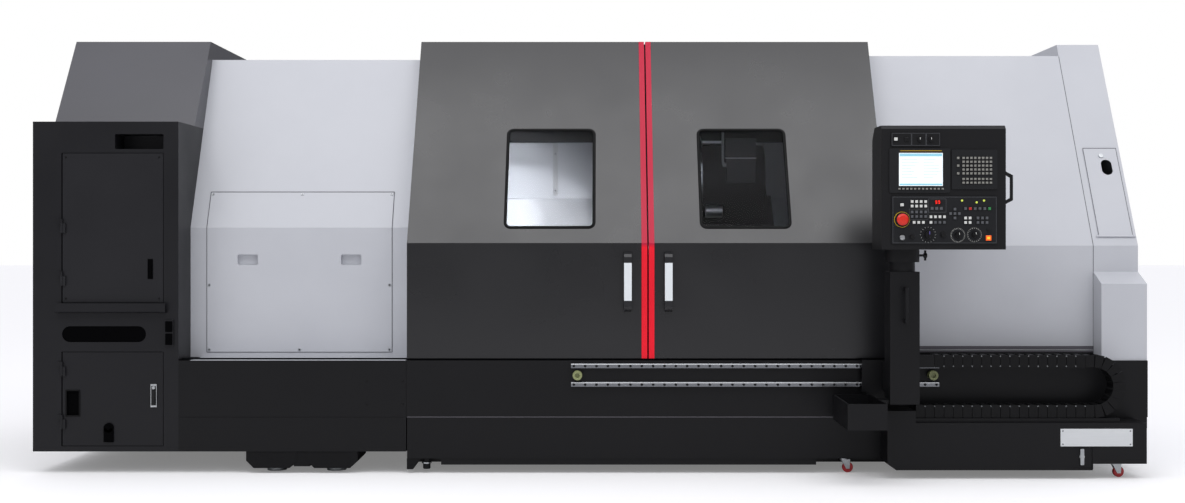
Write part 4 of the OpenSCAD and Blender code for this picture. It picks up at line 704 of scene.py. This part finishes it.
# %% Centre foot with its bolt, and the block between the front feet
shape = bmesh.new()
outline = [(-0.975, 0.022), (-0.942, 0.022), (-0.899, 0.0795), (-0.975, 0.0795)]
near, far = ([shape.verts.new((x, FRONT + y, z)) for x, z in outline] for y in (0.004, 0.05))
shape.faces.new(near)
shape.faces.new(far)
for i in range(4):
    shape.faces.new((near[i], near[i - 1], far[i - 1], far[i]))
BOLT_X, BOLT_Y = -0.872, FRONT + 0.03
bolt = [(0.017, 0), (0.02, 0.004), (0.02, 0.0575)]
turned(shape, Matrix.Translation((BOLT_X, BOLT_Y, 0.022)), bolt, 24)
add_piece("centre_foot", shape, casting_enamel, "machine")
nut = [(0.0205, 0), (0.0262, 0.001), (0.0262, 0.008), (0.0205, 0.009)]
rod_piece("centre_foot_nut", [(Matrix.Translation((BOLT_X, BOLT_Y, 0.05)), nut, 6)], zinc_plate, "machine")
front_piece("foot_bridge", (-1.576, -1.49), (0.006, 0.19), (0.037, 0.1168), 0.002, casting_enamel)
print("feet set")

# %% Painted reflection and shade on the ledge under the headstock cover, painted highlights on the rails
# Painted reflection: a light grey sheet on the black ledge in front of the cover stands in for the light the ledge
# reflects.
front_piece("ledge_painted_reflection", (-2.126, -0.982), (0.002, 0.219), (0.6, 0.6012), 0.0004, grey_coat)
# Painted shade: a dull near-black sheet keeps the ledge dark left of the cover.
front_piece("ledge_painted_shade", (-2.1865, -2.1262), (0.002, 0.219), (0.6, 0.6008), 0.0003, pit_black)
# Painted highlights: a thin bright metal strip along the top of each rail's face stands in for the light its edge
# catches.
highlight_strips = [((-0.101, FRONT - 0.0226, z + 0.0066), (1.847, FRONT - 0.0218, z + 0.0112)) for z in RAILS_Z]
box_piece("rail_painted_highlights", highlight_strips, 0.0003, plate_aluminium, "machine")
print("ledge and rail lands set")

# %% Lock and edges of the service lid
lid_place = on_end(2.8485) @ Matrix.Translation((0, 0.56, 0.0052))
cam = [(0.0132, 0), (0.0132, 0.004), (0.0124, 0.006), (0.004, 0.006), (0.004, 0.0052)]
rod_piece("lid_lock", [(lid_place, cam, 28)], zinc_plate, "service_lid")
edges = (((2.7552, 0.608), (2.9418, 0.6122)), ((2.7552, 0.064), (2.7582, 0.6078)),
         ((2.9388, 0.064), (2.9418, 0.6078)))
box_piece("lid_edges", [((*low, 0.004), (*high, 0.0058)) for low, high in edges], 0.0004, seal_grey,
          "service_lid", on_end(0))
print("service lid dressed")

# %% [markdown]
# ## The control pendant
# The operator faces a screen with soft keys, a keyboard and a panel of square keys, lamps and dials.
# A keycap is a square that narrows a little towards its top: a cone with four sides gives exactly that.
# The tree turns it by 45 degrees, sizes it, and sets one on each point.

# %% Keycap tree
cap_tree, given = new_tree("keycaps", Float=["Width", "Height", "Depth"], Material=["Cap"])
pyramid = add_node(cap_tree, "GeometryNodeMeshCone",
                   values={"Vertices": 4, "Radius Top": 0.5657, "Radius Bottom": 0.7071, "Depth": 1.0})
square = add_node(cap_tree, "GeometryNodeTransform", values={"Rotation": Euler((0, 0, math.radians(45)))},
                  links={"Geometry": pyramid})
size = add_node(cap_tree, "ShaderNodeCombineXYZ",
                links={"X": given["Width"], "Y": given["Height"], "Z": given["Depth"]})
sized = add_node(cap_tree, "GeometryNodeTransform", links={"Geometry": square, "Scale": size})
spread = add_node(cap_tree, "GeometryNodeInstanceOnPoints", values={"Rotation": Euler(TO_FRONT)},
                  links={"Points": given["Geometry"], "Instance": sized})
add_node(cap_tree, "NodeGroupOutput", links={0: painted(cap_tree, spread, given["Cap"])})

PENDANT_X, PENDANT_Z, PANEL_Y = 1.46, 1.192, -1.246
KEY_Y = PANEL_Y - 0.0037


def caps(title, places, width, height, finish, depth=0.0014):
    points = [(PENDANT_X + x / 1000, KEY_Y, PENDANT_Z + z / 1000) for x, z in places]
    mesh = grow(title, cap_tree, points, Width=width / 1000, Height=height / 1000, Depth=depth, Cap=finish)
    return settle(title, mesh, finish, "pendant")


def rows(x, z, nx, nz, dx, dz):
    return [(x + i * dx, z - j * dz) for i in range(nx) for j in range(nz)]


print("keycap tree nodes:", len(cap_tree.nodes))

# %% Keys of the display, the keyboard and the operator panel
caps("soft_keys", rows(88, 304, 12, 1, 19.6, 1), 12, 8.5, key_grey)
caps("keyboard_keys", rows(408, 458, 8, 5, 19.5, 19.3) + rows(381, 458, 1, 3, 1, 38.6), 13, 11.5, key_grey)
caps("keyboard_low_keys", rows(408, 353, 8, 2, 19.5, 18.5), 13, 10.5, key_grey)
caps("panel_dim_keys", rows(151, 188, 4, 2, 22.5, 22.5) + rows(267.5, 136, 3, 1, 22.5, 1)
     + rows(343, 180, 3, 1, 22, 1) + [(365, 202), (365, 158), (418, 205), (466, 205), (490, 205), (514, 205)]
     + rows(480, 158, 3, 2, 22.5, 22.5), 13.5, 13.5, key_dim)
caps("panel_white_keys", rows(151, 240, 4, 2, 22.5, 22.5) + rows(161, 136, 3, 1, 23, 1)
     + rows(245, 164, 4, 1, 22.5, 1) + [(245, 136)] + rows(418, 158, 2, 2, 22.5, 22.5), 14, 14, key_cream)
caps("panel_red_key", [(442, 205)], 14, 14, key_red)
caps("panel_green_key", [(538, 205)], 14, 14, key_green)
caps("cycle_key", [(101, 224)], 18, 15, key_cream)
caps("lit_key", [(533, 58)], 28, 26, lamp_orange)
caps("lit_key_middle", [(533, 58)], 17, 13, lamp_amber, 0.0019)
caps("memory_key", [(535, 97)], 15, 15, knob_black)
caps("switch_key", [(70, 552)], 18, 16, key_cream)
caps("switch_key_dark", [(124, 552)], 18, 18, knob_black)

# %% [markdown]
# ## Screen, digits, lamps and printing
# Places on the pendant are in millimetres from its lower left corner, as its own drawing gives them.
# A piece of the panel is a list of boxes, all between the same two depths.

# %% Screen with its bands, digit window and lamps
def panel_piece(name, boxes, front, back, soft, finish):
    ends = [((PENDANT_X + x0 / 1000, PANEL_Y - front, PENDANT_Z + z0 / 1000),
             (PENDANT_X + x1 / 1000, PANEL_Y - back, PENDANT_Z + z1 / 1000)) for x0, x1, z0, z1 in boxes]
    return box_piece(name, ends, soft, finish, "pendant")


def on_panel(x, z, y):
    return facing_front(PENDANT_X + x / 1000, PANEL_Y + y, PENDANT_Z + z / 1000)


panel_piece("screen", [(86.5, 305.5, 318.5, 483.5)], -0.0012, -0.0029, 0.0003, screen_white)
panel_piece("screen_top_band", [(90, 302, 466, 480)], -0.0009, -0.0013, 0.0001, screen_cyan)
panel_piece("screen_foot_band", [(90, 302, 322, 330)], -0.0009, -0.0013, 0.0001, screen_cyan)
line_places = [(100 + (j % 2) * 108, 448 - 15 * (j // 2)) for j in range(14)]
reaches = (78, 62, 88, 54, 70, 80, 48)
text_lines = [(x, x + reaches[i % 7], z, z + 4) for i, (x, z) in enumerate(line_places)]
panel_piece("screen_lines", text_lines, -0.0009, -0.0013, 0.0001, screen_line)
# Painted light: the stripe glows faintly, though it is no lamp.
panel_piece("stripe_above_screen", [(92, 300, 492, 496)], 0.0012, -0.0004, 0.0004, stripe_gold)
panel_piece("digit_window", [(262, 296, 224, 250)], 0.002, -0.0004, 0.0008, knob_black)
strokes = ((0, 8, 0, 1.6), (0, 8, 7.2, 8.8), (0, 8, 14.4, 16), (6.4, 8, 0, 16), (0, 1.6, 7.2, 16))
digits = [(x + x0, x + x1, 229 + z0, 229 + z1) for x in (268, 282) for x0, x1, z0, z1 in strokes]
panel_piece("digits", digits, 0.0026, 0.0019, 0.0002, digit_red)
dome = [(0.0055, 0), (0.0055, 0.002), (0.004, 0.0036), (0.0015, 0.0044)]
for title, x, z in (("lamp_left", 401, 245), ("lamp_middle", 474, 236), ("lamp_right", 511, 245)):
    rod_piece(title, [(on_panel(x, z, 0.0004), dome, 20)], lamp_lime, "pendant")
print("screen, digits and lamps set")

# %% Small keys under the digits, marks on the upper knobs, printed frames
digit_keys = [(x - 7, x + 7, 199, 213) for x in (251, 274, 297)]
panel_piece("digit_keys", digit_keys, 0.004, -0.0003, 0.0008, key_dim)
knob_marks = [(x - 1.3, x + 1.3, 550, 560) for x in (190, 246)]
panel_piece("knob_marks", knob_marks, 0.0127, 0.0117, 0.0003, key_cream)
FRAME_LINE = 1.4
frames = [(55, 573, 33, 263), (232, 322, 186, 254), (137, 232, 149, 203), (51, 148, 520, 582), (150, 221, 520, 582),
          (223, 290, 520, 582)]
frame_lines = [side for x0, x1, z0, z1 in frames
               for side in ((x0, x1, z0, z0 + FRAME_LINE), (x0, x1, z1 - FRAME_LINE, z1),
                            (x0, x0 + FRAME_LINE, z0, z1), (x1 - FRAME_LINE, x1, z0, z1))]
panel_piece("printed_frames", frame_lines, 0.0005, -0.0003, 0.0002, key_dim)
print("printed frames:", len(frames))

# %% [markdown]
# ## Rings and tick marks
# A yellow ring marks the emergency stop, and white ticks stand round each dial.
# The ticks are one thin bar set round a circle and turned to point at its middle.

# %% Tick tree, ticks and rings
tick_tree, given = new_tree("ticks", Float=["Radius", "Length", "Width"], Int=["Count"], Material=["Paint"])
circle = add_node(tick_tree, "GeometryNodeMeshCircle",
                  links={"Vertices": given["Count"], "Radius": given["Radius"]})
bar_size = add_node(tick_tree, "ShaderNodeCombineXYZ", values={"Z": 0.0006},
                    links={"X": given["Length"], "Y": given["Width"]})
bar = add_node(tick_tree, "GeometryNodeMeshCube", links={"Size": bar_size})
where = add_node(tick_tree, "GeometryNodeInputPosition")
turn = add_node(tick_tree, "FunctionNodeAlignRotationToVector", {"axis": "X", "pivot_axis": "Z"},
                links={"Vector": where})
spread = add_node(tick_tree, "GeometryNodeInstanceOnPoints",
                  links={"Points": circle, "Instance": bar, "Rotation": turn})
add_node(tick_tree, "NodeGroupOutput", links={0: painted(tick_tree, spread, given["Paint"])})

DIALS = {"mode": (232, 74), "feed": (380, 72), "spindle": (463, 74)}
for dial, radius, count in (("mode", 0.0375, 16), ("feed", 0.0328, 28), ("spindle", 0.0328, 20)):
    title = dial + "_ticks"
    ring = grow(title, tick_tree, [], Radius=radius, Length=0.005, Width=0.0014, Count=count, Paint=key_cream)
    settle(title, ring, key_cream, "pendant", on_panel(*DIALS[dial], -0.0001))
stop = [(0.0373, 0), (0.0392, 0), (0.0392, 0.0016), (0.0386, 0.0024), (0.0373, 0.0024)]
rod_piece("stop_ring", [(on_panel(101, 150, 0.0004), stop, 40)], ring_yellow, "pendant", hollow=True)
dial_edge = [(0.0352, 0), (0.0364, 0), (0.0364, 0.0008), (0.0352, 0.0008)]
for dial in ("feed", "spindle"):
    place = on_panel(*DIALS[dial], 0.0003)
    rod_piece(dial + "_ring", [(place, dial_edge, 40)], key_grey, "pendant", hollow=True)
for title, x, z, r, finish in (("key_switch", 101, 60, 0.0135, brushed_stainless),
                               ("round_button", 150, 62, 0.0105, knob_black),
                               ("rotary_switch", 306, 73, 0.0125, knob_black)):
    knob = [(r, 0), (r, 0.005), (r * 0.85, 0.008)]
    rod_piece(title, [(on_panel(x, z, -0.0058), knob, 28)], finish, "pendant")
dial_face = PANEL_Y - 0.006 - 0.0003 - 0.022 - 0.005
for dial, r, finish in (("mode", 0.024, pointer_violet), ("feed", 0.018, key_cream), ("spindle", 0.018, key_cream)):
    x, z = PENDANT_X + DIALS[dial][0] / 1000, PENDANT_Z + DIALS[dial][1] / 1000
    pointer = ((x - r * 0.07, dial_face - 0.0008, z + r * 0.1), (x + r * 0.07, dial_face + 0.0006, z + r * 0.72))
    box_piece(dial + "_pointer", [pointer], 0.0003, finish, dial + "_dial")
print("dial marks set")

# %% [markdown]
# ## The drag chain
# The cable to the pendant lies in a chain of nylon links: a lower run on the trough, a bend, and an
# upper run back to the pendant's slide. The bend keeps the wedge-shaped links of the drawing.
# When the pendant goes left, the bend follows at half its speed.
# The upper run is made twice: one copy goes with the slide, and one, a little slimmer, with the bend.
# The lower run gets shorter as the bend comes nearer; here it is a fixed run, given a mesh of its own.

# %% Link tree
LINK, LINK_H, LINK_W = 0.049, 0.066, 0.1
link_tree, given = new_tree("drag_links", Float=["Pitch", "Height", "Width"], Int=["Links"], Material=["Nylon"])
parts = add_node(link_tree, "GeometryNodeJoinGeometry")
bars = [((0.94, 0.07, 1.0), (0, -0.465, 0)), ((0.94, 0.07, 1.0), (0, 0.465, 0)),
        ((0.62, 0.05, 0.8), (0.5, -0.425, 0)), ((0.62, 0.05, 0.8), (0.5, 0.425, 0)),
        ((0.46, 0.9, 0.11), (0, 0, 0.415)), ((0.46, 0.9, 0.11), (0, 0, -0.415)),
        ((0.34, 0.012, 0.56), (0, -0.496, 0)), ((0.34, 0.012, 0.56), (0, 0.496, 0))]
for sizes, at in bars:
    cube = add_node(link_tree, "GeometryNodeMeshCube", values={"Size": sizes})
    moved = add_node(link_tree, "GeometryNodeTransform", values={"Translation": at}, links={"Geometry": cube})
    link_tree.links.new(moved.outputs[0], parts.inputs[0])
scale = add_node(link_tree, "ShaderNodeCombineXYZ",
                 links={"X": given["Pitch"], "Y": given["Width"], "Z": given["Height"]})
line = add_node(link_tree, "GeometryNodeMeshToCurve", links={0: given["Geometry"]})
spaced = add_node(link_tree, "GeometryNodeResampleCurve", links={"Curve": line, "Count": given["Links"]})
tangent = add_node(link_tree, "GeometryNodeInputTangent")
turn = add_node(link_tree, "FunctionNodeAlignRotationToVector", {"axis": "X", "pivot_axis": "Y"},
                links={"Vector": tangent})
spread = add_node(link_tree, "GeometryNodeInstanceOnPoints", links={"Points": spaced, "Instance": parts,
                         "Rotation": turn, "Scale": scale})
add_node(link_tree, "NodeGroupOutput", links={0: painted(link_tree, spread, given["Nylon"])})


def chain(title, points, body, slim=1.0):
    edges = [(i, i + 1) for i in range(len(points) - 1)]
    mesh = grow(title, link_tree, points, edges, Pitch=LINK, Height=LINK_H * slim, Width=LINK_W * slim,
                Links=len(points), Nylon=chain_nylon)
    return settle(title, mesh, chain_nylon, body)


print("link tree nodes:", len(link_tree.nodes))

# %% Lower run and upper runs
CHAIN_Y, LOW_Z, HIGH_Z, LOW_X, HIGH_X = -0.91, 0.349, 0.609, 1.694, 1.792
lower = chain("chain_lower_run", [(LOW_X + LINK * (i + 0.5), CHAIN_Y, LOW_Z) for i in range(19)], "machine")
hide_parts("chain_lower")
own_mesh(lower)
upper_points = [(HIGH_X + LINK * (i + 0.5), CHAIN_Y, HIGH_Z) for i in range(17)]
upper = chain("chain_upper_run", upper_points[:16], "pendant_carriage")
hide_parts("chain_upper")
chain("chain_follow_run", upper_points[1:], "chain_bend", slim=0.955)

# Painted highlights: small bright zinc dots at the link joints stand in for the light caught by the link corners,
# on both edges of the upper run and the top edge of the lower run.
HIGHLIGHT_Y, HIGHLIGHT_RISE, HIGHLIGHT_R, HIGHLIGHT_OUT = CHAIN_Y - LINK_W / 2, 0.026, 0.0034, 0.0012
upper_highlight_dots = [(HIGH_X + LINK * (i + 1), HIGHLIGHT_Y, HIGH_Z + rise) for i in range(15) for rise in (-HIGHLIGHT_RISE, HIGHLIGHT_RISE)]
screws("chain_upper_highlights", upper_highlight_dots, "pendant_carriage", HIGHLIGHT_R, HIGHLIGHT_OUT, TO_FRONT)
lower_highlight_dots = [(LOW_X + LINK * (i + 1), HIGHLIGHT_Y, LOW_Z + HIGHLIGHT_RISE) for i in range(18)]
lower_highlight_piece = screws("chain_lower_highlights", lower_highlight_dots, "machine", HIGHLIGHT_R, HIGHLIGHT_OUT, TO_FRONT)
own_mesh(lower_highlight_piece)
print("chain links in the runs:", 19 + len(upper_points))

# %% [markdown]
# ## Inside the work area
# The liner is made of sheets with a joint strip at each seam. The turret's housing carries a folded
# cover, a coolant pipe and a cylinder. A tubular lamp under the roof lights the liner behind the left window.

# %% Seams of the liner
LINER_Y, SEAMS_X = 0.8446, (-0.62, -0.24, 0.16, 0.72, 1.28)
strips = [((x - 0.016, LINER_Y, 1.53), (x + 0.016, 0.8469, 2.29)) for x in SEAMS_X]
box_piece("liner_joint_strips", strips, 0.0008, brushed_stainless, "machine")
# A dark enamelled box across the upper liner darkens the band under the roof.
box_piece("liner_dark_band", [((-0.93, 0.839, 1.872), (1.5, LINER_Y, 2.05))], 0.001, machine_enamel, "machine")
liner_points = [(x, LINER_Y, z) for x in SEAMS_X for z in (1.56, 1.8, 2.04, 2.26)]
screws("liner_screws", liner_points, "machine", 0.007, 0.003, TO_FRONT)
print("liner seams set")

# %% Cover, pipe and cylinder on the turret housing
covers = [((0.808, 0.158, 1.585), (0.985, 0.3, 1.728)), ((0.8, 0.166, 1.734), (0.99, 0.3, 1.85))]
box_piece("turret_front_cover", covers, 0.004, turret_paint, "cross_slide")
edges = [((0.804, 0.154, 1.7285), (0.988, 0.3, 1.7335), 0.001), ((0.667, 0.2, 1.822), (0.796, 0.42, 1.838))]
box_piece("turret_edges", edges, 0.002, plate_aluminium, "cross_slide")
cylinder = [(0.03, 0), (0.038, 0.004), (0.038, 0.1), (0.03, 0.104)]
elbow = [(0.012, 0), (0.014, 0.002), (0.014, 0.022)]
pipe = [(0.008, 0), (0.008, 0.195), (0.006, 0.198)]
rods = [(facing_side(0.69, 0.262, 1.415), cylinder, 28), (facing_side(0.786, 0.16, 1.69), elbow, 20),
        (Matrix.Translation((0.79, 0.19, 1.69)), pipe, 16)]
rod_piece("turret_fittings", rods, brushed_stainless, "cross_slide")
print("turret housing dressed")

# %% Work lamp
tube = [(0.018, 0), (0.024, 0.004), (0.024, 0.696), (0.018, 0.7)]
rod_piece("work_lamp_tube", [(facing_side(-0.8, -0.02, 2.262), tube, 24)], lamp_white, "machine")
print("work lamp set")
